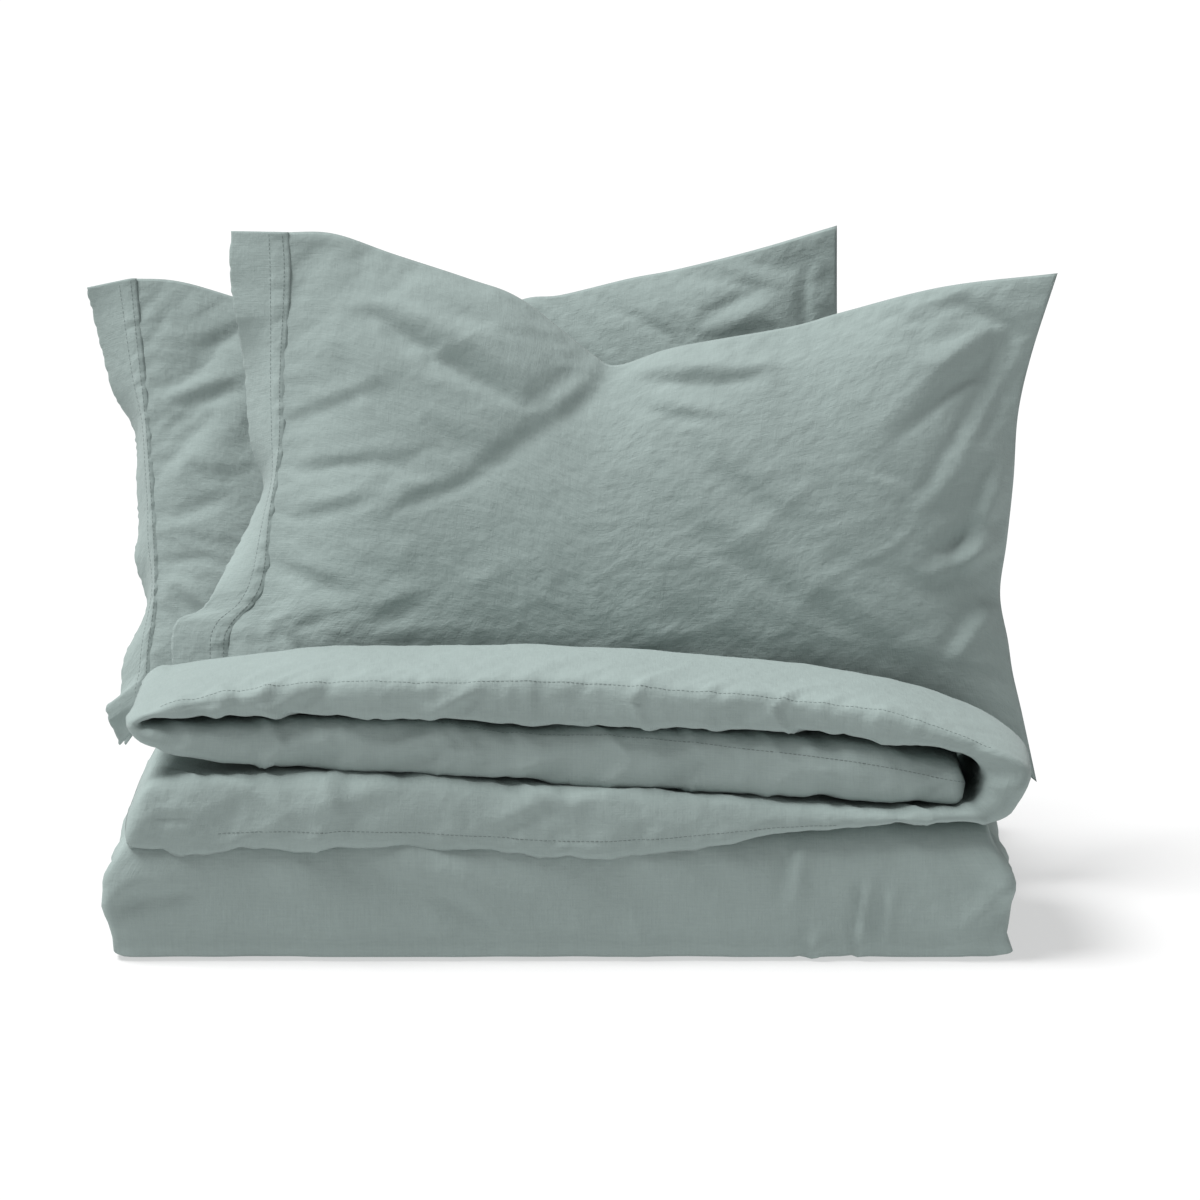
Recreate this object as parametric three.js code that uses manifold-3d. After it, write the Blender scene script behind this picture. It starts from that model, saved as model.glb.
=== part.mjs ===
// A folded bedding set: a quilt in its cotton cover, folded in four; a second cover folded in three on the
// quilt's front edge; and two pillows in their cases, standing behind it and leaning back.
// Millimetres, +Z up, +X to the right seen from the front, which faces -Y. The origin is the middle of the
// footprint, on the surface that the set stands on.
import * as THREE from "three";
import { mergeVertices } from "three/addons/utils/BufferGeometryUtils.js";
import Module from "manifold-3d";

const wasm = await Module();
wasm.setup();

// Cloth and clearances
const PLY = 1.2; // one hemmed layer of cotton as it packs, seam allowance included
const CLEAR = 0.4; // between pieces that touch
const LAYER_GAP = 2.0; // between the layers of the folded cover
const ARC_STEPS = 2; // half the number of segments in each arc

// The quilt folded in four
const BLOCK_LENGTH = 754;
const BLOCK_FRONT = -245;
const BLOCK_BACK = 245;
const BLOCK_HEIGHT = 118;
const BLOCK_LAYERS = 4;
const BLOCK_LAYER_GAP = 0.7;
const BLOCK_EDGE = 8; // rounding of the folded layers at both ends
const BLOCK_FRONT_RADIUS = 30; // of the outer layer's middle line as it wraps round the front
const FREE_END_SETBACK = 6; // how far the two free ends stop short of the folded back edge
const MOUTH_HEM = 40; // depth of the stitched band round the cover's mouth
const HEM_PLIES = 2;
const CASING_PLY = 0.9;
const CLOSING_SLIT = 3;

// The cover folded in three on top
const FOLD_FRONT = -243;
const FOLD_BACK = -27;
const FOLD_BASE = 119;
const FOLD_LEFT = -362;
const FOLD_RIGHT = 372;
const FOLD_STEPS = 10;
const FOLD_EDGE = 4;
const FOLD_WRAP = 3; // thickness of each layer's outer wrap of plies
const FOLD_INNER_EDGE = 1.5;
const LOWER_TOP_LEFT = 152;
const LOWER_TOP_RIGHT = 130;
const MIDDLE_LEFT = -346;
const MIDDLE_RIGHT = 345;
const MIDDLE_TOP = 191;
const MIDDLE_TOP_RISE = 4;
const MIDDLE_TOP_DROP = 20;
const UPPER_CREST = 247;
const UPPER_CREST_X = -20;
const UPPER_DROP_LEFT = 27;
const UPPER_DROP_RIGHT = 75;
const UPPER_DROP_POWER = 2.2;
const UPPER_END_SLOPE = 0.7; // how steeply the underside comes down to the elbow
const ELBOW_HEIGHT = 145;
const ELBOW_OUTER = [22.5, 26];
const ELBOW_INNER = [15, 21.5];
const TURN_HEIGHT = 197;
const TURN_RADII = [14, 22];
const BAND_SETBACK = 12; // of each hem band from the front edge
const BAND_DEPTH = 42;
const BAND_INSET = 14; // of each hem band from the layer's ends

// The pillows, each in a plane that leans back
const LEAN = THREE.MathUtils.degToRad(12);
const PILLOW_BASE = 119.8;
const PILLOW_COLUMNS = 12;
const PILLOW_ROWS = 8;
const SIDE_POWER = 2.4;
const SWELL_POWER = 0.6;
const BELLY_LOW = 0.85; // below 1 puts the fullest part under half height
const HEM_DEPTH = 46;
const SEAM_GAP = 0.3;
const FLAP_COLUMNS = 4;
const FLAP_ACROSS = [-0.94, -0.5];
const FLAP_UP = [0.08, 0.92];
const FLAP_DROP = 3; // below the case panel's inner face
const PILLOW_DROP = 5.5; // slack between the pillowcase and the pillow in it
const CASING_SPREAD = 0.93;
const HOLLOW_SPREAD = 0.91;
const FILLING_SPREAD = 0.9;

// What differs between the two pillows: corners in the leaning plane, the dent in the top edge, and fullness
const PILLOWS = [
  {
    name: "front_pillow",
    foot: 20,
    corners: { bottomLeft: [-290, 0], bottomRight: [415, 0], topLeft: [-242, 458], topRight: [438, 420] },
    dent: { at: 0.06, depth: 86, width: 0.34 },
    sidePull: 0.045,
    halfThickness: 68,
  },
  {
    name: "back_pillow",
    foot: 158,
    corners: { bottomLeft: [-360, 0], bottomRight: [318, 0], topLeft: [-392, 402], topRight: [256, 448] },
    dent: { at: 0.1, depth: 52, width: 0.36 },
    sidePull: 0.045,
    halfThickness: 60,
  },
];

const COTTON = { color: 0x8ba09c, roughness: 0.92, metalness: 0 };
const COTTON_HEM = { color: 0x93a8a4, roughness: 0.92, metalness: 0 };
const CASING = { color: 0xe9e6de, roughness: 0.85, metalness: 0 };
const FILLING = { color: 0xf6f5f0, roughness: 1, metalness: 0 };

const MERGE = 1e-3; // points closer than this are one point

// Booleans

function solidOf(geometry) {
  const bare = geometry.index ? geometry.toNonIndexed() : geometry.clone();
  bare.deleteAttribute("normal");
  bare.deleteAttribute("uv");
  const merged = mergeVertices(bare, MERGE);
  const mesh = new wasm.Mesh({
    numProp: 3,
    vertProperties: merged.attributes.position.array,
    triVerts: new Uint32Array(merged.index.array),
  });
  return new wasm.Manifold(mesh);
}

function cut(geometry, ...tools) {
  const solid = tools.reduce((rest, tool) => rest.subtract(solidOf(tool)), solidOf(geometry));
  const mesh = solid.getMesh();
  const result = new THREE.BufferGeometry();
  result.setAttribute("position", new THREE.BufferAttribute(new Float32Array(mesh.vertProperties), 3));
  result.setIndex(new THREE.BufferAttribute(new Uint32Array(mesh.triVerts), 1));
  result.computeVertexNormals();
  return result;
}

// The quilt and its cover: a ribbon round one folded line, drawn in the Y-Z plane and extruded along X

const LAYER = (BLOCK_HEIGHT - (BLOCK_LAYERS - 1) * BLOCK_LAYER_GAP) / BLOCK_LAYERS;

// The folded line runs from the mouth, at the back of the bottom layer, round the front, back over the top,
// and then inside as a second, smaller turn. A positive trim shortens an end, and a negative one extends it.
function foldedLine(mouthTrim, endTrim) {
  const pitch = LAYER + BLOCK_LAYER_GAP;
  const turn = pitch / 2;
  const bottom = LAYER / 2;
  const top = bottom + (BLOCK_LAYERS - 1) * pitch;
  const front = BLOCK_FRONT + LAYER / 2;
  const back = BLOCK_BACK - LAYER / 2;
  const wrap = BLOCK_FRONT_RADIUS;
  const freeEnd = BLOCK_BACK - FREE_END_SETBACK;
  const innerFront = front + pitch;
  const innerTop = top - pitch;
  const path = new THREE.Path();
  path.moveTo(freeEnd - mouthTrim, bottom);
  path.lineTo(front + wrap, bottom);
  path.absarc(front + wrap, bottom + wrap, wrap, 1.5 * Math.PI, Math.PI, true);
  path.lineTo(front, top - wrap);
  path.absarc(front + wrap, top - wrap, wrap, Math.PI, Math.PI / 2, true);
  path.lineTo(back - turn, top);
  path.absarc(back - turn, top - turn, turn, Math.PI / 2, -Math.PI / 2, true);
  path.lineTo(innerFront + turn, innerTop);
  path.absarc(innerFront + turn, innerTop - turn, turn, Math.PI / 2, 1.5 * Math.PI, false);
  path.lineTo(freeEnd - endTrim, innerTop - pitch);
  const points = path.getPoints(ARC_STEPS);
  return points.filter((point, i) => i === 0 || point.distanceTo(points[i - 1]) > MERGE);
}

// The outline that keeps a distance from an open line, with mitred corners and square ends.
function ribbonShape(line, halfWidth) {
  const sides = line.map((point, i) => {
    const before = line[Math.max(i - 1, 0)];
    const after = line[Math.min(i + 1, line.length - 1)];
    const into = point.clone().sub(before).normalize();
    const out = after.clone().sub(point).normalize();
    const along = into.add(out).normalize();
    const straight = i === 0 || i === line.length - 1 ? 1 : along.dot(out);
    const reach = halfWidth / straight;
    const normal = new THREE.Vector2(-along.y, along.x).multiplyScalar(reach);
    return [point.clone().add(normal), point.clone().sub(normal)];
  });
  const there = sides.map((side) => side[0]);
  const back = sides.map((side) => side[1]).reverse();
  return new THREE.Shape([...there, ...back]);
}

// One quilt-shaped solid with every face moved in by shrink, but the mouth end moved out by mouthReach.
function quiltSolid(shrink, mouthReach = 0) {
  const line = foldedLine(shrink + BLOCK_EDGE - mouthReach, shrink + BLOCK_EDGE);
  const shape = ribbonShape(line, LAYER / 2 - shrink - BLOCK_EDGE);
  const length = BLOCK_LENGTH - 2 * shrink;
  return extrudeAlongX(shape, length, BLOCK_EDGE);
}

function extrudeAlongX(shape, length, edge) {
  const geometry = new THREE.ExtrudeGeometry(shape, {
    depth: length - 2 * edge,
    bevelThickness: edge,
    bevelSize: edge,
    bevelSegments: 1,
    steps: 1,
  });
  geometry.translate(0, 0, edge - length / 2);
  const alongX = new THREE.Matrix4().makeBasis(
    new THREE.Vector3(0, 1, 0),
    new THREE.Vector3(0, 0, 1),
    new THREE.Vector3(1, 0, 0),
  );
  return geometry.applyMatrix4(alongX);
}

// A box from a low corner to a high corner.
function boxBetween(low, high) {
  const size = new THREE.Vector3(...high).sub(new THREE.Vector3(...low));
  const middle = new THREE.Vector3(...high).add(new THREE.Vector3(...low)).multiplyScalar(0.5);
  return new THREE.BoxGeometry(size.x, size.y, size.z).translate(middle.x, middle.y, middle.z);
}

// Everything of the bottom layer's back end beyond a given Y, whose top is the middle of the gap above it.
function mouthBlock(fromY) {
  const half = BLOCK_LENGTH;
  const above = LAYER + BLOCK_LAYER_GAP / 2;
  return boxBetween([-half, fromY, -LAYER], [half, 2 * BLOCK_BACK, above]);
}

function duvetCover() {
  const mouthY = BLOCK_BACK - FREE_END_SETBACK;
  return cut(quiltSolid(0), quiltSolid(PLY, MOUTH_HEM), mouthBlock(mouthY - MOUTH_HEM));
}

function duvetCoverHem() {
  const mouthY = BLOCK_BACK - FREE_END_SETBACK;
  const half = BLOCK_LENGTH;
  const edge = mouthY - MOUTH_HEM + CLEAR;
  const above = LAYER + BLOCK_LAYER_GAP / 2;
  const rest = boxBetween([-half, -half, -LAYER], [half, edge, 2 * BLOCK_HEIGHT]);
  const over = boxBetween([-half, edge - CLEAR, above], [half, 2 * BLOCK_BACK, 2 * BLOCK_HEIGHT]);
  return cut(quiltSolid(0), quiltSolid(HEM_PLIES * PLY, MOUTH_HEM), rest, over);
}

const CASING_SHRINK = HEM_PLIES * PLY + CLEAR;

function quiltCasing() {
  const slitHeight = LAYER / 2;
  const slit = boxBetween(
    [-BLOCK_LENGTH / 4, BLOCK_BACK / 2, slitHeight - CLOSING_SLIT / 2],
    [BLOCK_LENGTH / 4, BLOCK_BACK, slitHeight + CLOSING_SLIT / 2],
  );
  return cut(quiltSolid(CASING_SHRINK), quiltSolid(CASING_SHRINK + CASING_PLY), slit);
}

function quiltFilling() {
  return quiltSolid(CASING_SHRINK + CASING_PLY + CLEAR);
}

// The cover folded in three: each layer lies between two height lines and is extruded front to back

const lowerTop = (x) => {
  const along = (x - FOLD_LEFT) / (FOLD_RIGHT - FOLD_LEFT);
  return THREE.MathUtils.lerp(LOWER_TOP_LEFT, LOWER_TOP_RIGHT, along);
};
const middleTop = (x) => {
  const along = x / MIDDLE_RIGHT;
  return x < 0 ? MIDDLE_TOP - MIDDLE_TOP_RISE * along : MIDDLE_TOP - MIDDLE_TOP_DROP * along * along;
};
const upperTop = (x) => {
  const reach = x < UPPER_CREST_X ? FOLD_LEFT - UPPER_CREST_X : FOLD_RIGHT - UPPER_CREST_X;
  const drop = x < UPPER_CREST_X ? UPPER_DROP_LEFT : UPPER_DROP_RIGHT;
  return UPPER_CREST - drop * ((x - UPPER_CREST_X) / reach) ** UPPER_DROP_POWER;
};
const upperUnderside = (x) => {
  const past = Math.max(x - MIDDLE_RIGHT, 0);
  return middleTop(Math.min(x, MIDDLE_RIGHT)) + LAYER_GAP - UPPER_END_SLOPE * past;
};

// Every layer bends at the same places along X, so that facing surfaces stay parallel.
const BENDS = [...evenLines(FOLD_LEFT, FOLD_RIGHT, FOLD_STEPS), MIDDLE_RIGHT].sort((a, b) => a - b);

// The same height line, straight between the bends.
function straightened(height) {
  return (x) => {
    const i = BENDS.findLastIndex((bend) => bend <= x);
    const start = THREE.MathUtils.clamp(i, 0, BENDS.length - 2);
    const [from, to] = [BENDS[start], BENDS[start + 1]];
    return THREE.MathUtils.lerp(height(from), height(to), (x - from) / (to - from));
  };
}

const LAYERS = {
  lower: { left: FOLD_LEFT, right: FOLD_RIGHT, under: () => FOLD_BASE, over: straightened(lowerTop) },
  middle: {
    left: MIDDLE_LEFT,
    right: MIDDLE_RIGHT,
    under: straightened((x) => lowerTop(x) + LAYER_GAP),
    over: straightened(middleTop),
  },
  upper: {
    left: MIDDLE_LEFT,
    right: FOLD_RIGHT,
    under: straightened(upperUnderside),
    over: straightened(upperTop),
  },
};

// A layer with every face moved in by shrink, its rim chamfered by edge, from a back Y to a front Y.
function layerSolid(layer, shrink, edge, front, back) {
  const left = layer.left + shrink;
  const right = layer.right - CLEAR - shrink;
  const bends = BENDS.filter((bend) => bend > left + 2 * edge && bend < right - 2 * edge);
  const across = [left, left + edge, ...bends, right - edge, right];
  const up = [-back, edge - back, -front - edge, -front];
  const chamfer = (x, y) => {
    const onRim = x === left || x === right || y === -back || y === -front;
    return shrink + (onRim ? edge : 0);
  };
  const low = (x, y) => layer.under(x) + chamfer(x, y);
  const high = (x, y) => layer.over(x) - chamfer(x, y);
  return slab(across, up, (x, y, z) => [x, -y, z], low, high);
}

function outerPlies(layer) {
  const solid = layerSolid(layer, 0, FOLD_EDGE, FOLD_FRONT, FOLD_BACK);
  const hollowBack = FOLD_BACK + 2 * FOLD_WRAP;
  const hollow = layerSolid(layer, FOLD_WRAP, FOLD_INNER_EDGE, FOLD_FRONT + FOLD_WRAP, hollowBack);
  return cut(solid, hollow);
}

function innerPlies(layer) {
  const shrink = FOLD_WRAP + CLEAR;
  return layerSolid(layer, shrink, FOLD_INNER_EDGE, FOLD_FRONT + shrink, FOLD_BACK - CLEAR);
}

function hemBand(layer) {
  const left = layer.left + BAND_INSET;
  const right = Math.min(layer.right, MIDDLE_RIGHT) - BAND_INSET;
  const across = [left, ...BENDS.filter((bend) => bend > left && bend < right), right];
  const front = FOLD_FRONT + BAND_SETBACK;
  const low = (x) => layer.over(x) + CLEAR;
  const high = (x) => layer.over(x) + CLEAR + PLY;
  return slab(across, [-front - BAND_DEPTH, -front], (x, y, z) => [x, -y, z], low, high);
}

// Part of a ring about a line along Y, between two angles.
function ringSector(centreX, centreZ, [inner, outer], fromAngle, toAngle) {
  const shape = new THREE.Shape();
  shape.absarc(centreX, centreZ, outer, fromAngle, toAngle, false);
  shape.absarc(centreX, centreZ, inner, toAngle, fromAngle, true);
  const geometry = new THREE.ExtrudeGeometry(shape, {
    depth: FOLD_BACK - FOLD_FRONT,
    bevelEnabled: false,
    curveSegments: 2 * ARC_STEPS,
  });
  geometry.rotateX(Math.PI / 2);
  return geometry.translate(0, FOLD_BACK, 0);
}

// Grids: lines that are evenly spaced, and lines that crowd towards both ends

function evenLines(from, to, count) {
  return Array.from({ length: count + 1 }, (_, i) => THREE.MathUtils.lerp(from, to, i / count));
}

function easedLines(from, to, count) {
  return evenLines(0, Math.PI, count).map((t) => THREE.MathUtils.lerp(from, to, (1 - Math.cos(t)) / 2));
}

// A closed slab between two sheets over a grid of across and up lines.
// place gives a point from across, up and the sheet's value there.
function slab(acrossLines, upLines, place, low, high) {
  const columns = acrossLines.length - 1;
  const rows = upLines.length - 1;
  const positions = [];
  for (const sheet of [low, high]) {
    for (const up of upLines) {
      for (const across of acrossLines) positions.push(...place(across, up, sheet(across, up)));
    }
  }
  const width = columns + 1;
  const far = width * (rows + 1);
  const faces = [];
  for (let j = 0; j < rows; j++) {
    for (let i = 0; i < columns; i++) {
      const a = j * width + i;
      const [b, c, d] = [a + 1, a + width + 1, a + width];
      faces.push(a, b, c, a, c, d, far + a, far + c, far + b, far + a, far + d, far + c);
    }
  }
  const rim = rimOf(columns, rows);
  rim.forEach((a, i) => {
    const b = rim[(i + 1) % rim.length];
    faces.push(a, far + a, far + b, a, far + b, b);
  });
  const geometry = new THREE.BufferGeometry();
  geometry.setAttribute("position", new THREE.Float32BufferAttribute(positions, 3));
  geometry.setIndex(faces);
  geometry.computeVertexNormals();
  return geometry;
}

// The grid's border vertices in order: along the bottom, up the right side, back over the top, down the left.
function rimOf(columns, rows) {
  const width = columns + 1;
  const bottom = Array.from({ length: columns }, (_, i) => i);
  const right = Array.from({ length: rows }, (_, j) => j * width + columns);
  const top = Array.from({ length: columns }, (_, i) => rows * width + columns - i);
  const left = Array.from({ length: rows }, (_, j) => (rows - j) * width);
  return [...bottom, ...right, ...top, ...left];
}

// A pillow: a swollen sheet over a quadrilateral, with (across, up) from (-1, 0) to (1, 1)

function pillowPlace({ corners, dent, sidePull }) {
  const { bottomLeft, bottomRight, topLeft, topRight } = corners;
  const { lerp } = THREE.MathUtils;
  return (across, up, y) => {
    const share = (across + 1) / 2;
    const left = lerp(bottomLeft[0], topLeft[0], up);
    const right = lerp(bottomRight[0], topRight[0], up);
    const pull = sidePull * Math.sin(Math.PI * up);
    const x = lerp(left, right, 0.5 + (share - 0.5) * (1 - pull));
    const crease = dent.depth / (1 + ((across - dent.at) / dent.width) ** 2);
    const edge = dent.depth / (1 + ((Math.sign(across - dent.at) - dent.at) / dent.width) ** 2);
    const height = lerp(topLeft[1], topRight[1], share) - Math.max(crease - edge, 0);
    return [x, y, up * height];
  };
}

function pillowSwell({ halfThickness }) {
  return (across, up) => {
    const side = Math.max(1 - Math.abs(across) ** SIDE_POWER, 0) ** SWELL_POWER;
    const belly = Math.max(Math.sin(Math.PI * up ** BELLY_LOW), 0) ** SWELL_POWER;
    return halfThickness * side * belly;
  };
}

// A closed slab between two distances from the pillow's middle sheet, on its front (-1) or back (1) side.
function sideSlab(columns, rows, place, side, near, far) {
  const [low, high] = side < 0 ? [far, near] : [near, far];
  return slab(
    columns,
    rows,
    place,
    (across, up) => side * low(across, up),
    (across, up) => side * high(across, up),
  );
}

function casePanel(pillow, side) {
  const swell = pillowSwell(pillow);
  const near = (across, up) => swell(across, up) + SEAM_GAP;
  const far = (across, up) => near(across, up) + PLY;
  const columns = easedLines(-1, 1, PILLOW_COLUMNS);
  return sideSlab(columns, easedLines(0, 1, PILLOW_ROWS), pillowPlace(pillow), side, near, far);
}

// A hem band reaches from the case's mouth seam (across 1) out to its free edge (across 0).
function caseHem(pillow, side) {
  const place = pillowPlace(pillow);
  const beyond = (across, up, y) => {
    const [x, , z] = place(-1, up, 0);
    return [x - CLEAR - HEM_DEPTH * (1 - across), y, z];
  };
  const near = () => SEAM_GAP;
  const far = () => SEAM_GAP + PLY;
  return sideSlab([0, 1], easedLines(0, 1, PILLOW_ROWS), beyond, side, near, far);
}

// The flap inside the mouth that the pillow is tucked behind.
function innerFlap(pillow) {
  const swell = pillowSwell(pillow);
  const far = (across, up) => swell(across, up) - FLAP_DROP;
  const near = (across, up) => far(across, up) - PLY / 2;
  const columns = evenLines(...FLAP_ACROSS, FLAP_COLUMNS);
  return sideSlab(columns, easedLines(...FLAP_UP, PILLOW_ROWS), pillowPlace(pillow), -1, near, far);
}

// A pillow-shaped solid inside the case, reaching out to spread and lying drop below the case's inner face.
function pillowWithin(pillow, spread, drop) {
  const swell = pillowSwell(pillow);
  const columns = easedLines(-spread, spread, PILLOW_COLUMNS);
  const rows = easedLines(1 - spread, spread, PILLOW_ROWS);
  const depth = (across, up) => swell(across, up) - drop;
  return slab(columns, rows, pillowPlace(pillow), (across, up) => -depth(across, up), depth);
}

function pillowCasing(pillow) {
  const reach = pillow.halfThickness;
  const [x, , z] = pillowPlace(pillow)(-1, 1 / 2, 0);
  const half = CLOSING_SLIT / 2;
  const slit = boxBetween([x - reach, -half, z - reach], [x + reach, half, z + reach]);
  const outside = pillowWithin(pillow, CASING_SPREAD, PILLOW_DROP);
  return cut(outside, pillowWithin(pillow, HOLLOW_SPREAD, PILLOW_DROP + CASING_PLY), slit);
}

function pillowPieces(pillow) {
  return {
    case_front_panel: [casePanel(pillow, -1), COTTON],
    case_back_panel: [casePanel(pillow, 1), COTTON],
    case_hem_front: [caseHem(pillow, -1), COTTON_HEM],
    case_hem_back: [caseHem(pillow, 1), COTTON_HEM],
    case_inner_flap: [innerFlap(pillow), COTTON_HEM],
    casing: [pillowCasing(pillow), CASING],
    filling: [pillowWithin(pillow, FILLING_SPREAD, PILLOW_DROP + CASING_PLY + 2 * CLEAR), FILLING],
  };
}

// Assembly

function addPiece(parent, name, geometry, finish) {
  const mesh = new THREE.Mesh(geometry, new THREE.MeshStandardMaterial(finish));
  mesh.name = name;
  parent.add(mesh);
}

function addDuvet(parent) {
  addPiece(parent, "duvet_cover", duvetCover(), COTTON);
  addPiece(parent, "duvet_cover_hem", duvetCoverHem(), COTTON_HEM);
  addPiece(parent, "quilt_casing", quiltCasing(), CASING);
  addPiece(parent, "quilt_filling", quiltFilling(), FILLING);
}

function addFoldedCover(parent) {
  for (const [name, layer] of Object.entries(LAYERS)) {
    addPiece(parent, `fold_${name}_outer_plies`, outerPlies(layer), COTTON);
    addPiece(parent, `fold_${name}_inner_plies`, innerPlies(layer), COTTON);
    addPiece(parent, `fold_${name}_hem`, hemBand(layer), COTTON_HEM);
  }
  const quarter = Math.PI / 2;
  const outer = ringSector(FOLD_RIGHT, ELBOW_HEIGHT, ELBOW_OUTER, -quarter, 0);
  const inner = ringSector(FOLD_RIGHT, ELBOW_HEIGHT, ELBOW_INNER, 0, quarter);
  const turn = ringSector(MIDDLE_LEFT - CLEAR, TURN_HEIGHT, TURN_RADII, quarter, 3 * quarter);
  addPiece(parent, "fold_elbow_outer_ply", outer, COTTON);
  addPiece(parent, "fold_elbow_inner_ply", inner, COTTON);
  addPiece(parent, "fold_left_turn", turn, COTTON);
}

function addPillow(parent, pillow) {
  const leaning = new THREE.Group();
  leaning.position.set(0, pillow.foot, PILLOW_BASE);
  leaning.rotation.x = -LEAN;
  for (const [name, [geometry, finish]] of Object.entries(pillowPieces(pillow))) {
    addPiece(leaning, `${pillow.name}_${name}`, geometry, finish);
  }
  parent.add(leaning);
}

// The footprint's middle comes to the origin, and the lowest point to Z = 0.
function centre(group) {
  group.updateMatrixWorld(true);
  const box = new THREE.Box3().setFromObject(group, true);
  const middle = box.getCenter(new THREE.Vector3());
  group.position.set(-middle.x, -middle.y, -box.min.z);
}

const bedding = new THREE.Group();
addDuvet(bedding);
addFoldedCover(bedding);
PILLOWS.forEach((pillow) => addPillow(bedding, pillow));
centre(bedding);

export default bedding;
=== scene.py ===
"""The looks of a folded bedding set: a quilt folded in its cover, a second cover folded in three on its front
edge, and two pillows in their cases behind it. Everything is in metres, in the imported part's own frame."""

import math

import bmesh
import bpy
import numpy as np
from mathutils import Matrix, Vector


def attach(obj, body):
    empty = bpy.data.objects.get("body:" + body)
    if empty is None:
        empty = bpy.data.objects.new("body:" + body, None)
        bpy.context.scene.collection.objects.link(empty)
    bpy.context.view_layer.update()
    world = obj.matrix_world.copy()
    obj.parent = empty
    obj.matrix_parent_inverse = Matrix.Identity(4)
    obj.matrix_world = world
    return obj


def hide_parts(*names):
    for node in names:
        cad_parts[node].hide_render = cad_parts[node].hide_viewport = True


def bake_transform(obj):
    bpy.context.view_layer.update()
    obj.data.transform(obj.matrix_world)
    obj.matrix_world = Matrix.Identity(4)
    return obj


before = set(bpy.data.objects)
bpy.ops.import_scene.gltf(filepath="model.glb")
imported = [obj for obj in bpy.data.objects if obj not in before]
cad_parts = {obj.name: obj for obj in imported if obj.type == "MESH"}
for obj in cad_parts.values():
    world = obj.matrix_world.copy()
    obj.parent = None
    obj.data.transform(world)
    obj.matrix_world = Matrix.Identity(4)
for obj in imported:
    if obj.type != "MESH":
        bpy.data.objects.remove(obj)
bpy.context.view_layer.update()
NODES = list(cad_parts)

# ---------------------------------------------------------------- camera and light

CAMERA_AT = (0.035, -4.615, 1.155)
CAMERA_TILT = math.radians(11)
CAMERA_LENS = 162
CAMERA_SENSOR = 36

WHITE = (1, 1, 1, 1)
WORLD_STRENGTH = 0.30
SUN_STRENGTH = 4.1
SUN_FROM = (-0.45, -0.04, 0.892)
SUN_SPREAD = math.radians(30)
FLOOR_SIZE = 60
FLOOR_GREY = 0.35
FLOOR_GLOW = 0.52
FLOOR_ROUGHNESS = 0.9


def add_camera():
    data = bpy.data.cameras.new("camera")
    data.lens = CAMERA_LENS
    data.sensor_width = CAMERA_SENSOR
    camera = bpy.data.objects.new("camera", data)
    camera.location = CAMERA_AT
    camera.rotation_euler = (math.pi / 2 - CAMERA_TILT, 0, 0)
    bpy.context.scene.collection.objects.link(camera)
    bpy.context.scene.camera = camera


def add_world():
    scene = bpy.context.scene
    scene.view_settings.view_transform = "Standard"
    world = bpy.data.worlds.new("studio")
    scene.world = world
    world.use_nodes = True
    background = world.node_tree.nodes["Background"]
    background.inputs["Color"].default_value = WHITE
    background.inputs["Strength"].default_value = WORLD_STRENGTH


def add_sun():
    """A wide, soft sun from the upper left."""
    sun = bpy.data.lights.new("sun", "SUN")
    sun.energy = SUN_STRENGTH
    sun.angle = SUN_SPREAD
    lamp = bpy.data.objects.new("sun", sun)
    lamp.rotation_euler = (-Vector(SUN_FROM)).to_track_quat("-Z", "Y").to_euler()
    bpy.context.scene.collection.objects.link(lamp)


def add_floor():
    """A pale floor that glows a little, so that the shadows on it stay light."""
    bpy.ops.mesh.primitive_plane_add(size=FLOOR_SIZE, location=(0, 0, 0))
    floor = bpy.context.object
    floor.name = "studio_floor"
    pale = plain_material("floor_pale", (FLOOR_GREY,) * 3, FLOOR_ROUGHNESS)
    shader = pale.node_tree.nodes["Principled BSDF"]
    shader.inputs["Emission Color"].default_value = WHITE
    shader.inputs["Emission Strength"].default_value = FLOOR_GLOW
    floor.data.materials.append(pale)


# ---------------------------------------------------------------- numbers to shapes

NOISE_CELLS = 64**2
NOISE_OFFSET = 1000.5  # keeps every cell's number positive
NOISE_STRIDES = (7919, 104729)
NOISE_SHIFT = 7
CREST_SHARPNESS = 3.2
CURVE_STEPS = 24
FOLD_TAPER = 0.8
FOLD_SIDE = 0.6  # where the crest and the hollow run, as a share of the fold's width
FOLD_TIGHTNESS = 2
HOLLOW_SHARE = 0.7
TINY = 1e-12


def smooth(t):
    """0 below 0, 1 above 1, and an easy curve between."""
    t = np.clip(t, 0, 1)
    return t * t * (3 - 2 * t)


def rise(values, start, width):
    """0 below start, and 1 from width above it."""
    return smooth((values - start) / width)


def fall(values, start, width):
    """0 above start, and 1 from width below it."""
    return smooth((start - values) / width)


def noise(points, size, seed):
    """Smooth noise from -1 to 1 at points of 2 or 3 coordinates, with features about size across."""
    points = np.atleast_2d(points)
    table = np.random.default_rng(seed).uniform(-1, 1, NOISE_CELLS)
    where = points / size + NOISE_OFFSET
    corner = np.floor(where).astype(np.int64)
    weight = smooth(where - corner)
    total = np.zeros(len(points))
    for bits in range(2 ** points.shape[1]):
        share = np.ones(len(points))
        index = np.zeros(len(points), np.int64)
        for axis in range(points.shape[1]):
            up = bits >> axis & 1
            share = share * (weight[:, axis] if up else 1 - weight[:, axis])
            index = index * NOISE_STRIDES[0] + (corner[:, axis] + up) * NOISE_STRIDES[1] + axis
        total += share * table[(index ^ (index >> NOISE_SHIFT)) % NOISE_CELLS]
    return total


def wrinkles(points, size, seed):
    """Narrow crests, from 0 to 1, that wander over the points about size apart."""
    return np.clip(1 - CREST_SHARPNESS * np.abs(noise(points, size, seed)), 0, 1) ** 2


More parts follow.
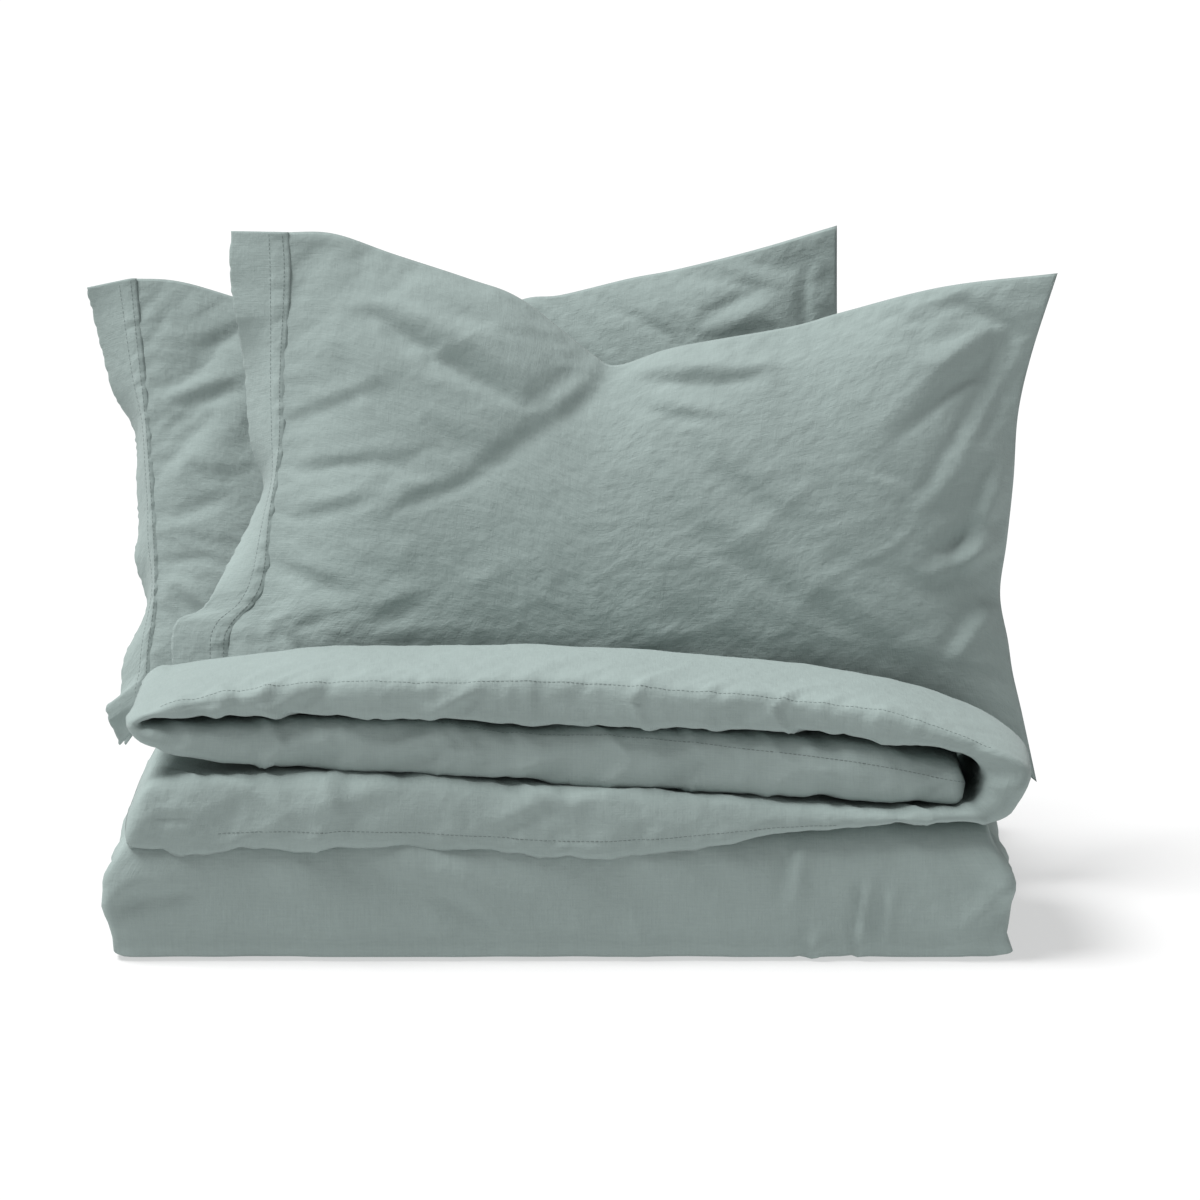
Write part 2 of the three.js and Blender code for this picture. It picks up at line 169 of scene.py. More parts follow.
def length_along(points):
    """The distance walked to each of a line's points."""
    steps = np.linalg.norm(np.diff(points, axis=0), axis=1)
    return np.concatenate([[0], np.cumsum(steps)])


def points_at(where, along, points):
    """The points of a line at the distances where, given the distance along it of each of its own points."""
    return np.stack([np.interp(where, along, column) for column in points.T], axis=1)


def curve_through(points, count=None, at=None):
    """Points evenly spaced, or at the given shares of the length, on a smooth curve through points."""
    p = np.array(points, float)
    padded = np.vstack([2 * p[0] - p[1], p, 2 * p[-1] - p[-2]])
    t = np.linspace(0, 1, CURVE_STEPS, endpoint=False)[:, None]
    pieces = []
    for a, b, c, d in zip(padded, padded[1:], padded[2:], padded[3:]):
        pieces.append(
            0.5 * (2 * b + (c - a) * t + (2 * a - 5 * b + 4 * c - d) * t**2 + (3 * b - a - 3 * c + d) * t**3)
        )
    dense = np.vstack([*pieces, p[-1:]])
    along = length_along(dense)
    shares = np.linspace(0, 1, count) if at is None else np.asarray(at)
    return points_at(shares * along[-1], along, dense)


def make_object(name, vertices, faces, material, uvs=None):
    """A mesh object. Its quads and triangles are shaded smooth, and its larger end faces flat."""
    mesh = bpy.data.meshes.new(name)
    mesh.from_pydata([tuple(v) for v in vertices], [], [tuple(f) for f in faces])
    mesh.validate()
    if uvs is not None:
        layer = mesh.uv_layers.new(name="cloth")
        layer.data.foreach_set("uv", np.asarray(uvs)[loop_vertices(mesh)].astype(np.float32).ravel())
    mesh.polygons.foreach_set("use_smooth", [polygon.loop_total <= 4 for polygon in mesh.polygons])
    mesh.materials.append(material)
    made = bpy.data.objects.new(name, mesh)
    bpy.context.scene.collection.objects.link(made)
    return made


def loop_vertices(mesh):
    """The vertex of each of a mesh's face corners."""
    index = np.zeros(len(mesh.loops), int)
    mesh.loops.foreach_get("vertex_index", index)
    return index


def grid_faces(rows, columns, wrap_columns=False):
    """Quads over a grid of rows by columns of vertices, in row order."""
    across = np.arange(columns if wrap_columns else columns - 1)
    j, i = np.meshgrid(np.arange(rows - 1), across, indexing="ij")
    below = (j + 1) * columns
    beside = (i + 1) % columns
    quads = np.stack([j * columns + i, j * columns + beside, below + beside, below + i], axis=-1)
    return quads.reshape(-1, 4)


def end_rings(rows, columns):
    """The first and the last row of a grid, each as one face that looks outwards."""
    return [list(range(columns))[::-1], list(range((rows - 1) * columns, rows * columns))]


def folds_at(points, folds):
    """The height of a set of soft folds at points of a plane. A fold is (x0, y0, x1, y1, width, height).
    It fades in and out along its line, with a crest on the line's left and a hollow on its right."""
    total = np.zeros(len(points))
    for x0, y0, x1, y1, width, height in folds:
        line = np.array((x1 - x0, y1 - y0))
        length = np.linalg.norm(line)
        along = (points - np.array((x0, y0))) @ line / length**2
        side = ((points[:, 0] - x0) * -line[1] + (points[:, 1] - y0) * line[0]) / (length * width)
        taper = np.sin(np.pi * np.clip(along, 0, 1)) ** FOLD_TAPER
        crest = np.exp(-((side - FOLD_SIDE) ** 2) * FOLD_TIGHTNESS)
        hollow = np.exp(-((side + FOLD_SIDE) ** 2) * FOLD_TIGHTNESS)
        total += height * taper * (crest - HOLLOW_SHARE * hollow)
    return total


def normals_of(vertices, faces):
    """Unit vertex normals of a quad mesh."""
    a, b, c, d = (vertices[faces[:, k]] for k in range(4))
    face = np.cross(c - a, d - b)
    total = np.zeros_like(vertices)
    for k in range(4):
        np.add.at(total, faces[:, k], face)
    return total / np.maximum(np.linalg.norm(total, axis=1, keepdims=True), TINY)


def fix_facing(made):
    """Turns every face of a closed mesh outwards."""
    work = bmesh.new()
    work.from_mesh(made.data)
    bmesh.ops.recalc_face_normals(work, faces=work.faces)
    work.to_mesh(made.data)
    work.free()


# ---------------------------------------------------------------- materials

SAGE = (0.300, 0.363, 0.350)
# How much darker than the cloth the stitches' thread is: this darkening is painted shade, so that each row shows
# as a seam's thin dark line.
THREAD_PAINTED_SHADE = 0.55
THREAD_ROUGHNESS = 0.8
CLOTH_ROUGHNESS = 0.88
SHEEN = 0.08
SHEEN_ROUGHNESS = 0.5
SPECULAR = 0.15
THREAD_PITCH = 0.0011
THREAD_STRETCH = 18  # how many times longer than wide the threads' uneven places are
THREAD_DETAIL = 3
PATCHES_PER_METRE = 9
PATCH_DETAIL = 3
CRUMPLES_PER_METRE = 85
CRUMPLE_DETAIL = 8
THREAD_TONE = 0.15
PATCH_TONE = 0.16
BASE_TONE = 0.77
THREAD_GLOSS = 0.12
BASE_GLOSS = 0.76
THREAD_HEIGHT = 0.30
CRUMPLE_HEIGHT = 1.8
BUMP_STRENGTH = 0.7
BUMP_DISTANCE = 0.0012


def plain_material(name, colour, roughness):
    material = bpy.data.materials.new(name)
    material.use_nodes = True
    shader = material.node_tree.nodes["Principled BSDF"]
    shader.inputs["Base Color"].default_value = (*colour, 1)
    shader.inputs["Roughness"].default_value = roughness
    return material


def cloth_noise(tree, cloth, scale, detail):
    """A noise texture on the cloth's own coordinates, scaled differently along and across."""
    mapping = tree.nodes.new("ShaderNodeMapping")
    mapping.inputs["Scale"].default_value = (*scale, 1)
    tree.links.new(cloth.outputs["UV"], mapping.inputs["Vector"])
    texture = tree.nodes.new("ShaderNodeTexNoise")
    texture.inputs["Scale"].default_value = 1
    texture.inputs["Detail"].default_value = detail
    tree.links.new(mapping.outputs["Vector"], texture.inputs["Vector"])
    return texture.outputs["Fac"]


def combine(tree, operation, a, b):
    """A math node. Each of a and b is a socket or a number."""
    node = tree.nodes.new("ShaderNodeMath")
    node.operation = operation
    for socket, value in zip(node.inputs, (a, b)):
        if isinstance(value, (int, float)):
            socket.default_value = value
        else:
            tree.links.new(value, socket)
    return node.outputs["Value"]


def weighted(tree, a, a_weight, b, b_weight):
    a_part = combine(tree, "MULTIPLY", a, a_weight)
    return combine(tree, "ADD", a_part, combine(tree, "MULTIPLY", b, b_weight))


def add_tone(tree, shader, threads, patches):
    """The colour: sage, a little uneven from thread to thread and from place to place."""
    tone = combine(tree, "ADD", weighted(tree, threads, THREAD_TONE, patches, PATCH_TONE), BASE_TONE)
    mix = tree.nodes.new("ShaderNodeMix")
    mix.data_type = "RGBA"
    mix.blend_type = "MULTIPLY"
    mix.inputs["Factor"].default_value = 1
    mix.inputs["A"].default_value = (*SAGE, 1)
    tree.links.new(tone, mix.inputs["B"])
    tree.links.new(mix.outputs["Result"], shader.inputs["Base Color"])


def add_relief(tree, shader, threads, crumpled):
    """The relief of the threads and of the small crumples of washed cloth."""
    bump = tree.nodes.new("ShaderNodeBump")
    bump.inputs["Strength"].default_value = BUMP_STRENGTH
    bump.inputs["Distance"].default_value = BUMP_DISTANCE
    height = weighted(tree, threads, THREAD_HEIGHT, crumpled, CRUMPLE_HEIGHT)
    tree.links.new(height, bump.inputs["Height"])
    tree.links.new(bump.outputs["Normal"], shader.inputs["Normal"])


def cotton_material():
    """Washed cotton: uneven threads both ways, a soft crumple, and faint changes of colour."""
    material = plain_material("sage_cotton", SAGE, CLOTH_ROUGHNESS)
    tree = material.node_tree
    shader = tree.nodes["Principled BSDF"]
    shader.inputs["Sheen Weight"].default_value = SHEEN
    shader.inputs["Sheen Roughness"].default_value = SHEEN_ROUGHNESS
    shader.inputs["Specular IOR Level"].default_value = SPECULAR
    cloth = tree.nodes.new("ShaderNodeUVMap")
    cloth.uv_map = "cloth"
    fine = 1 / THREAD_PITCH
    coarse = 1 / (THREAD_STRETCH * THREAD_PITCH)
    along = cloth_noise(tree, cloth, (coarse, fine), THREAD_DETAIL)
    threads = combine(tree, "ADD", along, cloth_noise(tree, cloth, (fine, coarse), THREAD_DETAIL))
    patches = cloth_noise(tree, cloth, (PATCHES_PER_METRE,) * 2, PATCH_DETAIL)
    crumpled = cloth_noise(tree, cloth, (CRUMPLES_PER_METRE,) * 2, CRUMPLE_DETAIL)
    gloss = combine(tree, "ADD", combine(tree, "MULTIPLY", threads, THREAD_GLOSS), BASE_GLOSS)
    tree.links.new(gloss, shader.inputs["Roughness"])
    add_tone(tree, shader, threads, patches)
    add_relief(tree, shader, threads, crumpled)
    return material


COTTON = cotton_material()
# The stitches' thread: the cloth's own sage, darkened with painted shade of the stitched seam's groove.
THREAD = plain_material("sage_thread", tuple(THREAD_PAINTED_SHADE * c for c in SAGE), THREAD_ROUGHNESS)

# ---------------------------------------------------------------- the stitched rows

STITCH_LENGTH = 0.0030
STITCH_GAP = 0.0009
STITCH_WIDTH = 0.0011
STITCH_HEIGHT = 0.0004
STITCH_PLACES = np.array([0.0, 0.25, 0.75, 1.0])
STITCH_PLUMPNESS = np.array([0.35, 1.0, 1.0, 0.35])
STITCH_SIDES = 3


def one_stitch(middle, up, first):
    """One stitch: triangular rings along its middle line, closed at both ends, numbered from first."""
    up = up / np.linalg.norm(up, axis=1, keepdims=True)
    ahead = middle[-1] - middle[0]
    across = np.cross(up, ahead / np.linalg.norm(ahead))
    vertices = []
    for m, u, c, plump in zip(middle, up, across, STITCH_PLUMPNESS):
        half = STITCH_WIDTH / 2 * plump
        rise = STITCH_HEIGHT * plump
        vertices += [m + c * half - u * rise, m + u * rise, m - c * half - u * rise]
    faces = []
    for ring in range(len(STITCH_PLACES) - 1):
        start = first + STITCH_SIDES * ring
        for k in range(STITCH_SIDES):
            a = start + k
            b = start + (k + 1) % STITCH_SIDES
            faces.append((a, b, b + STITCH_SIDES, a + STITCH_SIDES))
    last = first + len(vertices) - STITCH_SIDES
    faces += [(first, first + 2, first + 1), (last, last + 1, last + 2)]
    return vertices, faces


def add_stitches(name, points, normals, body):
    """A row of small thread stitches along a line on the cloth, standing a little out of it."""
    along = length_along(points)
    vertices = []
    faces = []
    for start in np.arange(STITCH_GAP, along[-1] - STITCH_LENGTH, STITCH_LENGTH + STITCH_GAP):
        where = start + STITCH_PLACES * STITCH_LENGTH
        stitch = one_stitch(points_at(where, along, points), points_at(where, along, normals), len(vertices))
        vertices += stitch[0]
        faces += stitch[1]
    row = make_object(name, vertices, faces, THREAD)
    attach(row, body)
    return row


# ---------------------------------------------------------------- the cover folded in three

FRAME_SHIFT = 0.0002  # added to x for the cover and the pillows
NOSE_Y = -0.2500
BLOCK_TOP = 0.1186
BLOCK_FRONT_Y = -0.2549
BLOCK_ROUND = 0.044
TOP_POWER = 2.7

# Sections from the nose over the outer side, the back, and along the inner side: (distance behind the nose,
# share of the thickness from the inner to the outer side).
ROLL = [(0, 0.50), (0.0015, 0.72), (0.008, 0.86), (0.030, 0.94), (0.080, 1.0), (0.120, 0.96), (0.165, 0.74),
        (0.205, 0.38), (0.190, 0.08), (0.150, 0.0), (0.090, 0.0), (0.030, 0.0), (0.007, 0.03), (0.001, 0.16)]
HANG = [(0, 0.50), (0.002, 0.76), (0.007, 0.93), (0.022, 1.0), (0.070, 1.0), (0.130, 1.0), (0.190, 0.92),
        (0.214, 0.5), (0.205, 0.12), (0.150, 0.0), (0.090, 0.0), (0.030, 0.0), (0.008, 0.02), (0.001, 0.16)]
LEAF = [(0, 0.50), (0.002, 0.76), (0.008, 0.94), (0.022, 1.0), (0.070, 1.0), (0.130, 1.0), (0.195, 0.92),
        (0.212, 0.5), (0.195, 0.08), (0.130, 0.0), (0.070, 0.0), (0.022, 0.0), (0.008, 0.06), (0.002, 0.24)]
FORWARD = (-0.0095, -0.005, 0.000, 0.003, 0.005)  # each part's nose, from NOSE_Y

# Stations along the cover: (outer x, outer z, inner x, inner z) in millimetres. It starts at the free end
# of the lowest layer, on the left, turns up at the right, comes back as the top layer, and turns down into
# the middle one.
LOWEST = [(-366, 101, -350, 145), (-350, 93, -334, 154), (-300, 91, -285, 157), (-245, 95, -230, 159),
          (-138, 94, -130, 157), (-60, 91, -60, 151), (5, 88, 0, 147), (85, 92, 85, 143),
          (160, 105, 160, 138), (234, 113, 234, 132), (292, 118, 292, 129), (325, 120, 322, 130),
          (350, 119, 336, 131)]
ELBOW = [(361, 117, 345, 134), (376, 122, 349, 141), (385, 134, 351, 148), (391, 145, 352, 155)]
UPPERMOST = [(397, 157, 351, 162), (389, 168, 347, 168), (372, 179, 339, 173), (350, 189, 327, 177),
             (326, 199, 310, 182), (276, 215, 270, 186), (225, 225, 225, 191), (163, 233, 163, 194),
             (65, 242, 65, 198), (-33, 246, -33, 199), (-121, 244, -121, 205), (-202, 243, -202, 207),
             (-262, 235, -262, 206), (-306, 225, -302, 207), (-334, 215, -328, 206)]
LEFT_TURN = [(-350, 208, -339, 204), (-358, 201, -347, 201), (-354, 192, -344, 198), (-342, 183, -334, 197)]
MIDDLE = [(-319, 176, -312, 198), (-280, 167, -275, 199), (-205, 161, -203, 202), (-118, 156, -121, 202),
          (-42, 152, -42, 195), (5, 147, 5, 194), (85, 143, 85, 193), (160, 140, 160, 189),
          (235, 136, 235, 183), (290, 133, 285, 175), (320, 131, 316, 168), (341, 131, 337, 164)]
PARTS = (LOWEST, ELBOW, UPPERMOST, LEFT_TURN, MIDDLE)
MILLIMETRES = 1000  # in a metre
TAG = 0.001  # makes part and station numbers too small to change the length of the curve they ride on
PATH_STEP = 0.0042
SECTION_SHARES = np.concatenate([
    np.linspace(0, 0.17, 24, endpoint=False), np.linspace(0.17, 0.46, 16, endpoint=False),
    np.linspace(0.46, 0.54, 8, endpoint=False), np.linspace(0.54, 0.83, 16, endpoint=False),
    np.linspace(0.83, 1, 24, endpoint=False),
])
SECTION_STEPS = 1200
SECTION_SEARCH = 400  # steps at each end of the dense curve in which it passes its first point
USUAL_THICKNESS = 0.04
END_ROUNDING = 0.012
END_CLOSED = 0.9995
END_SETBACK = 0.018
END_FADE = 0.02
NOSE_FADE = 0.05
NOSE_WAVES = ((0.11, 5, 0.0035), (0.045, 6, 0.0016))  # size, seed, height


def section_points(table):
    """The table's closed curve, at SECTION_SHARES of its length."""
    dense = curve_through([*table[-2:], *table, *table[:2]], SECTION_STEPS)
    away = np.linalg.norm(dense - table[0], axis=1)
    later = SECTION_STEPS - SECTION_SEARCH
    first = np.argmin(away[:SECTION_SEARCH])
    last = later + np.argmin(away[later:])
    real = (1, USUAL_THICKNESS)
    loop = dense[first : last + 1] * real
    along = length_along(loop)
    return points_at(SECTION_SHARES * along[-1], along, loop) / real


def turned_over(table):
    """The same section seen from the other side of the sheet."""
    flipped = [(d, 1 - n) for d, n in table]
    return [flipped[0], *flipped[:0:-1]]


def cover_lines():
    """Even steps along the cover: its lines, the part each step is in, and its station number."""
    stations = np.array([station for part in PARTS for station in part], float) / MILLIMETRES
    counts = [len(part) for part in PARTS]
    kinds = np.repeat(np.arange(len(counts)), counts) * TAG
    numbers = np.arange(len(stations)) * TAG
    length = length_along((stations[:, :2] + stations[:, 2:]) / 2)[-1]
    both = curve_through(np.column_stack([stations, kinds, numbers]), int(length / PATH_STEP))
    kind = np.clip(both[:, 4] / TAG, 0, len(counts) - 1)
    return both[:, :4], kind, both[:, 5] / TAG


def sections_at(kind):
    """The cover's section at each step, eased from one part's to the next part's."""
    tables = [turned_over(HANG), LEAF, ROLL, LEAF, turned_over(HANG)]
    sections = np.stack([section_points(table) for table in tables])
    low = np.floor(kind).astype(int)
    high = np.minimum(low + 1, len(tables) - 1)
    share = smooth(kind - low)[:, None, None]
    return (1 - share) * sections[low] + share * sections[high]


class CoverGrid:
    """The folded cover as a grid of steps along it by points round its section."""

    def __init__(self):
        lines, kind, self.number = cover_lines()
        section = sections_at(kind)
        self.walked = length_along((lines[:, :2] + lines[:, 2:]) / 2)
        self.ends = np.minimum(self.walked, self.walked[-1] - self.walked)
        closing = np.clip(1 - self.ends / END_ROUNDING, 0, END_CLOSED)
        rounding = np.sqrt(1 - closing**2)[:, None]
        forward = np.interp(kind, range(len(FORWARD)), FORWARD)
        line = np.column_stack([self.walked, 0 * self.walked])
        wave = sum(height * noise(line, size, seed) for size, seed, height in NOSE_WAVES) + forward
        self.depth = section[..., 0]
        setback = (1 - rounding) * END_SETBACK * np.exp(-self.depth / END_FADE)
        y = NOSE_Y + wave[:, None] * np.exp(-self.depth / NOSE_FADE) + self.depth + setback
        share = 0.5 + (section[..., 1] - 0.5) * rounding
        outer = lines[:, None, :2]
        inner = lines[:, None, 2:]
        flat = inner + share[..., None] * (outer - inner)
        self.points = np.stack([flat[..., 0] + FRAME_SHIFT, y, flat[..., 1]], axis=-1)
        steps = np.linalg.norm(np.diff(self.points, axis=1), axis=2)
        self.around = np.concatenate([np.zeros((len(steps), 1)), np.cumsum(steps, axis=1)], axis=1)

    def cloth_places(self):
        """Each point's place on the cloth: along the cover, and away from the nose on either side."""
        closing = np.linalg.norm(self.points[:, -1] - self.points[:, 0], axis=1)
        whole = self.around[:, -1:] + closing[:, None]
        from_nose = np.minimum(self.around, whole - self.around)
        walked = np.broadcast_to(self.walked[:, None], from_nose.shape)
        return np.stack([walked, from_nose], axis=-1).reshape(-1, 2)


def block_top_at(y):
    """The height of the quilt's top surface, which rounds down at its front edge."""
    inside = np.clip(BLOCK_FRONT_Y + BLOCK_ROUND - y, 0, BLOCK_ROUND) / BLOCK_ROUND
    return BLOCK_TOP - BLOCK_ROUND * (1 - (1 - inside**TOP_POWER) ** (1 / TOP_POWER))


# Folds on the cover's front: (x0, z0, x1, z1, width, height).
COVER_FOLDS = [
    (-0.110, 0.200, -0.060, 0.232, 0.008, 0.0040),
    (-0.240, 0.205, -0.190, 0.236, 0.010, 0.0030),
    (-0.285, 0.206, -0.262, 0.228, 0.008, 0.0030),
    (-0.150, 0.165, -0.080, 0.192, 0.012, 0.0040),
    (-0.245, 0.166, -0.170, 0.186, 0.014, 0.0040),
    (-0.060, 0.150, 0.010, 0.168, 0.009, 0.0030),
    (-0.230, 0.115, -0.120, 0.150, 0.012, 0.0025),
    (-0.060, 0.110, 0.010, 0.145, 0.010, 0.0028),
    (-0.300, 0.118, -0.250, 0.148, 0.010, 0.0020),
    (0.120, 0.205, 0.190, 0.232, 0.012, 0.0022),
    (0.060, 0.150, 0.150, 0.182, 0.016, 0.0028),
    (0.290, 0.136, 0.330, 0.160, 0.006, 0.0022),
]
COVER_SKEW = (0.7, -0.3)
CREASE_SIZE = (0.026, 0.080)
CREASE_HEIGHT = 0.0030
CREASE_PATCHES = (0.09, 0.35, 1.2)  # size, least share and most added share of the creases' height
COVER_SMALL = (0.010, 0.034)
COVER_SMALL_HEIGHT = 0.0011
COVER_FINE = (0.0065, 0.016)
COVER_FINE_HEIGHT = 0.0005
CREST_SIZE = (0.060, 0.105)
CREST_HEIGHT = 0.0036
CREST_BEHIND = 0.2  # share of the crests' height that is left away from the front
FRONT_DEPTH = 0.01
FRONT_FADE = 0.03
CALM_ENDS = 0.02
CALM_BACK = 0.4
CALM_ELBOW = (17, 2.5, 0.7)  # station, reach in stations, share taken away
SEAM_STATIONS = (18.6, 31.4)
SEAM_FROM_NOSE = 0.0125
SEAM_WIDTH = 0.0014
SEAM_DEPTH = 0.0007
PUCKER_SIZE = (0.009, 0.04)
PUCKER_HEIGHT = 0.0010
PUCKER_REACH = 0.010
CLEARANCE = 0.0006
LYING_STATIONS = len(LOWEST) + 1.5
LYING_END_X = 0.378


def cover_bumps(grid, flat, cloth):
    """How far each of the cover's points stands out of its smooth shape."""
    columns = grid.around.shape[1]
    front = np.exp(-np.clip(grid.depth.ravel() - FRONT_DEPTH, 0, 1) / FRONT_FADE)
    along_skew, across_skew = COVER_SKEW
    along = cloth[:, 0] + along_skew * cloth[:, 1]
    skewed = np.stack([along, cloth[:, 1] + across_skew * cloth[:, 0]], axis=1)
    size, least, added = CREASE_PATCHES
    bumps = CREASE_HEIGHT * noise(skewed / CREASE_SIZE, 1, 21) * (least + added * noise(cloth, size, 22) ** 2)
    bumps += COVER_SMALL_HEIGHT * noise(skewed / COVER_SMALL, 1, 23)
    bumps += COVER_FINE_HEIGHT * noise(cloth / COVER_FINE, 1, 24)
    crests = CREST_HEIGHT * wrinkles(skewed / CREST_SIZE, 1, 25)
    bumps += crests * (CREST_BEHIND + (1 - CREST_BEHIND) * front)
    puckers, groove = seam_relief(grid, cloth)
    bumps += puckers
    bumps -= groove
    bumps += folds_at(flat[:, [0, 2]], COVER_FOLDS) * front
    bumps *= np.repeat(smooth(grid.ends / CALM_ENDS), columns) * (CALM_BACK + (1 - CALM_BACK) * front)
    station, reach, calmed = CALM_ELBOW
    return bumps * np.repeat(1 - calmed * np.exp(-(((grid.number - station) / reach) ** 2)), columns)


def seam_relief(grid, cloth):
    """The puckers across the top layer's seam, and the depth of the seam's groove."""
    first, last = SEAM_STATIONS
    elsewhere = np.where((grid.number > first) & (grid.number < last), 0, 1)
    gap = np.abs(grid.around.ravel() - SEAM_FROM_NOSE) + np.repeat(elsewhere, grid.around.shape[1])
    puckers = PUCKER_HEIGHT * noise(cloth / PUCKER_SIZE, 1, 26) * np.exp(-gap / PUCKER_REACH)
    return puckers, SEAM_DEPTH * np.exp(-((gap / SEAM_WIDTH) ** 2))


def cover_surface(grid):
    """The cover's points with its folds and creases, their normals, and their cloth coordinates."""
    rows, columns = grid.around.shape
    flat = grid.points.reshape(-1, 3)
    faces = grid_faces(rows, columns, wrap_columns=True)
    cloth = grid.cloth_places()
    normals = normals_of(flat, faces)
    flat = flat + normals * cover_bumps(grid, flat, cloth)[:, None]
    lying = np.repeat(grid.number < LYING_STATIONS, columns) & (flat[:, 0] < LYING_END_X)
    least = block_top_at(flat[:, 1]) + CLEARANCE
    flat[:, 2] = np.where(lying, np.maximum(flat[:, 2], least), flat[:, 2])
    return flat, normals_of(flat, faces), cloth


CUT_STATION = len(LOWEST) + len(ELBOW) + 2
SHADED_ROWS = 3  # rows beside the cut that keep the uncut cloth's shading


def add_cover_piece(name, flat, normals, cloth, columns, beside_cut):
    """One tube of the cover, closed at both ends and shaded beside the cut as the uncut cloth was."""
    rows = len(flat) // columns
    faces = [*grid_faces(rows, columns, wrap_columns=True), *end_rings(rows, columns)]
    piece = make_object(name, flat, faces, COTTON, cloth)
    fix_facing(piece)
    set_normals(piece, normals, np.arange(len(flat))[beside_cut])
    return piece


def add_cover():
    """The folded cover in two pieces: the lowest layer with the bend, and the two layers that open."""
    grid = CoverGrid()
    rows, columns = grid.around.shape
    surface = cover_surface(grid)
    cut = int(np.argmax(grid.number > CUT_STATION))
    shaded = SHADED_ROWS * columns
    below = [values[: (cut + 1) * columns] for values in surface]
    lower = add_cover_piece("cover_lower", *below, columns, slice(-shaded, None))
    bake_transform(lower)
    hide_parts(*[n for n in NODES if n.startswith("fold_lower")], "fold_elbow_outer_ply")
    above = [values[cut * columns :] for values in surface]
    upper = add_cover_piece("cover_upper", *above, columns, slice(0, shaded))
    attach(upper, "top_fold_flap")
    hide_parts(*[n for n in NODES if n.startswith(("fold_middle", "fold_upper"))],
                "fold_left_turn", "fold_elbow_inner_ply")
    flat, normals, _ = surface
    return flat.reshape(rows, columns, 3), normals.reshape(rows, columns, 3), grid.number


def set_normals(made, normals, beside_cut):
    """Shades a piece beside a cut as the uncut cloth was shaded, so that no line shows at the cut."""
    chosen = np.zeros_like(normals)
    chosen[beside_cut] = normals[beside_cut]
    made.data.normals_split_custom_set([tuple(n) for n in chosen[loop_vertices(made.data)]])


# Rows of stitches: name, first and last station, shares of the way and of the section's length, body.
COVER_ROWS = (
    ("cover_stitches_top", 19.2, 31, ([0, 1], [0.0285, 0.0285]), "top_fold_flap"),
    ("cover_stitches_middle", 38, 47, ([0, 0.25, 1], [0.930, 0.955, 0.990]), "top_fold_flap"),
    ("cover_stitches_lower", 2.2, 9, ([0, 1], [0.018, 0.018]), "top_fold"),
)


def seam_line(grid, normals, number, first, last, shares):
    """Points and normals along the cover between two stations, at the given shares of the sections' length."""
    rows = np.flatnonzero((number >= first) & (number <= last))
    way = np.linspace(0, 1, len(rows))
    columns = grid.shape[1]
    wanted = np.interp(np.interp(way, *shares), [*SECTION_SHARES, 1], np.arange(columns + 1))
    low = np.floor(wanted).astype(int)
    part = (wanted - low)[:, None]
    after = (low + 1) % columns
    low %= columns
    line = (1 - part) * grid[rows, low] + part * grid[rows, after]
    up = (1 - part) * normals[rows, low] + part * normals[rows, after]
    return line, up


def add_cover_stitches(grid, normals, number):
    """The long rows of stitches on the folded cover's front edge."""
    for name, first, last, shares, body in COVER_ROWS:
        add_stitches(name, *seam_line(grid, normals, number, first, last, shares), body)


# ---------------------------------------------------------------- the quilt folded in four

LAYER = 0.029
LAYER_PITCH = 0.0297
BLOCK_SHIFT = -0.00992
BLOCK_SPAN = 0.245
BLOCK_HALF = 0.3745
BLOCK_FRONT_TURN = 0.030
BLOCK_FREE_END = 0.239
BLOCK_EDGE = 0.0125
BLOCK_STEP = 0.0065
BLOCK_COLUMNS = 150
BLOCK_END_CLOSED = 0.985
BLOCK_LOWEST = 0.0003
END_POWER = 0.6
END_STEPS = 13
TURN_STEPS = 12


def arc(centre, radius, start, end):
    """Points on an arc between two angles in degrees."""
    angles = np.radians(np.linspace(start, end, TURN_STEPS))
    return np.stack([centre[0] + radius * np.cos(angles), centre[1] + radius * np.sin(angles)], axis=1)


def folded_line():
    """The middle line of the folded quilt as (y, z), and the distance along it: the bottom, the front, the top,
    and the two inner layers."""
    half = LAYER / 2
    top = half + 3 * LAYER_PITCH
    front = -BLOCK_SPAN + half
    back = BLOCK_SPAN - half
    wrap = BLOCK_FRONT_TURN
    turn = LAYER_PITCH / 2
    inner_top = top - LAYER_PITCH
    inner_front = front + LAYER_PITCH
    corners = np.vstack([
        [(BLOCK_FREE_END, half)],
        arc((front + wrap, half + wrap), wrap, 270, 180),
        arc((front + wrap, top - wrap), wrap, 180, 90),
        arc((back - turn, top - turn), turn, 90, -90),
        arc((inner_front + turn, inner_top - turn), turn, 90, 270),
        [(BLOCK_FREE_END, inner_top - LAYER_PITCH)],
    ])
    along = length_along(corners)
    even = np.linspace(0, along[-1], int(along[-1] / BLOCK_STEP))
    return points_at(even, along, corners), even


def quilt_section():
    """The quilt's closed section: each point's x, and its side of the middle line from -1 to 1."""
    angles = np.linspace(0, np.pi, END_STEPS)[1:-1]
    flat_x = np.linspace(-1, 1, BLOCK_COLUMNS) * (BLOCK_HALF - BLOCK_EDGE)
    end_x = (BLOCK_HALF - BLOCK_EDGE) + BLOCK_EDGE * np.sin(angles) ** END_POWER
    end_n = np.sign(np.cos(angles)) * np.abs(np.cos(angles)) ** END_POWER
    loop_x = np.concatenate([flat_x, end_x, flat_x[::-1], -end_x[::-1]])
    loop_n = np.concatenate([np.ones(BLOCK_COLUMNS), end_n, -np.ones(BLOCK_COLUMNS), -end_n])
    return loop_x, loop_n


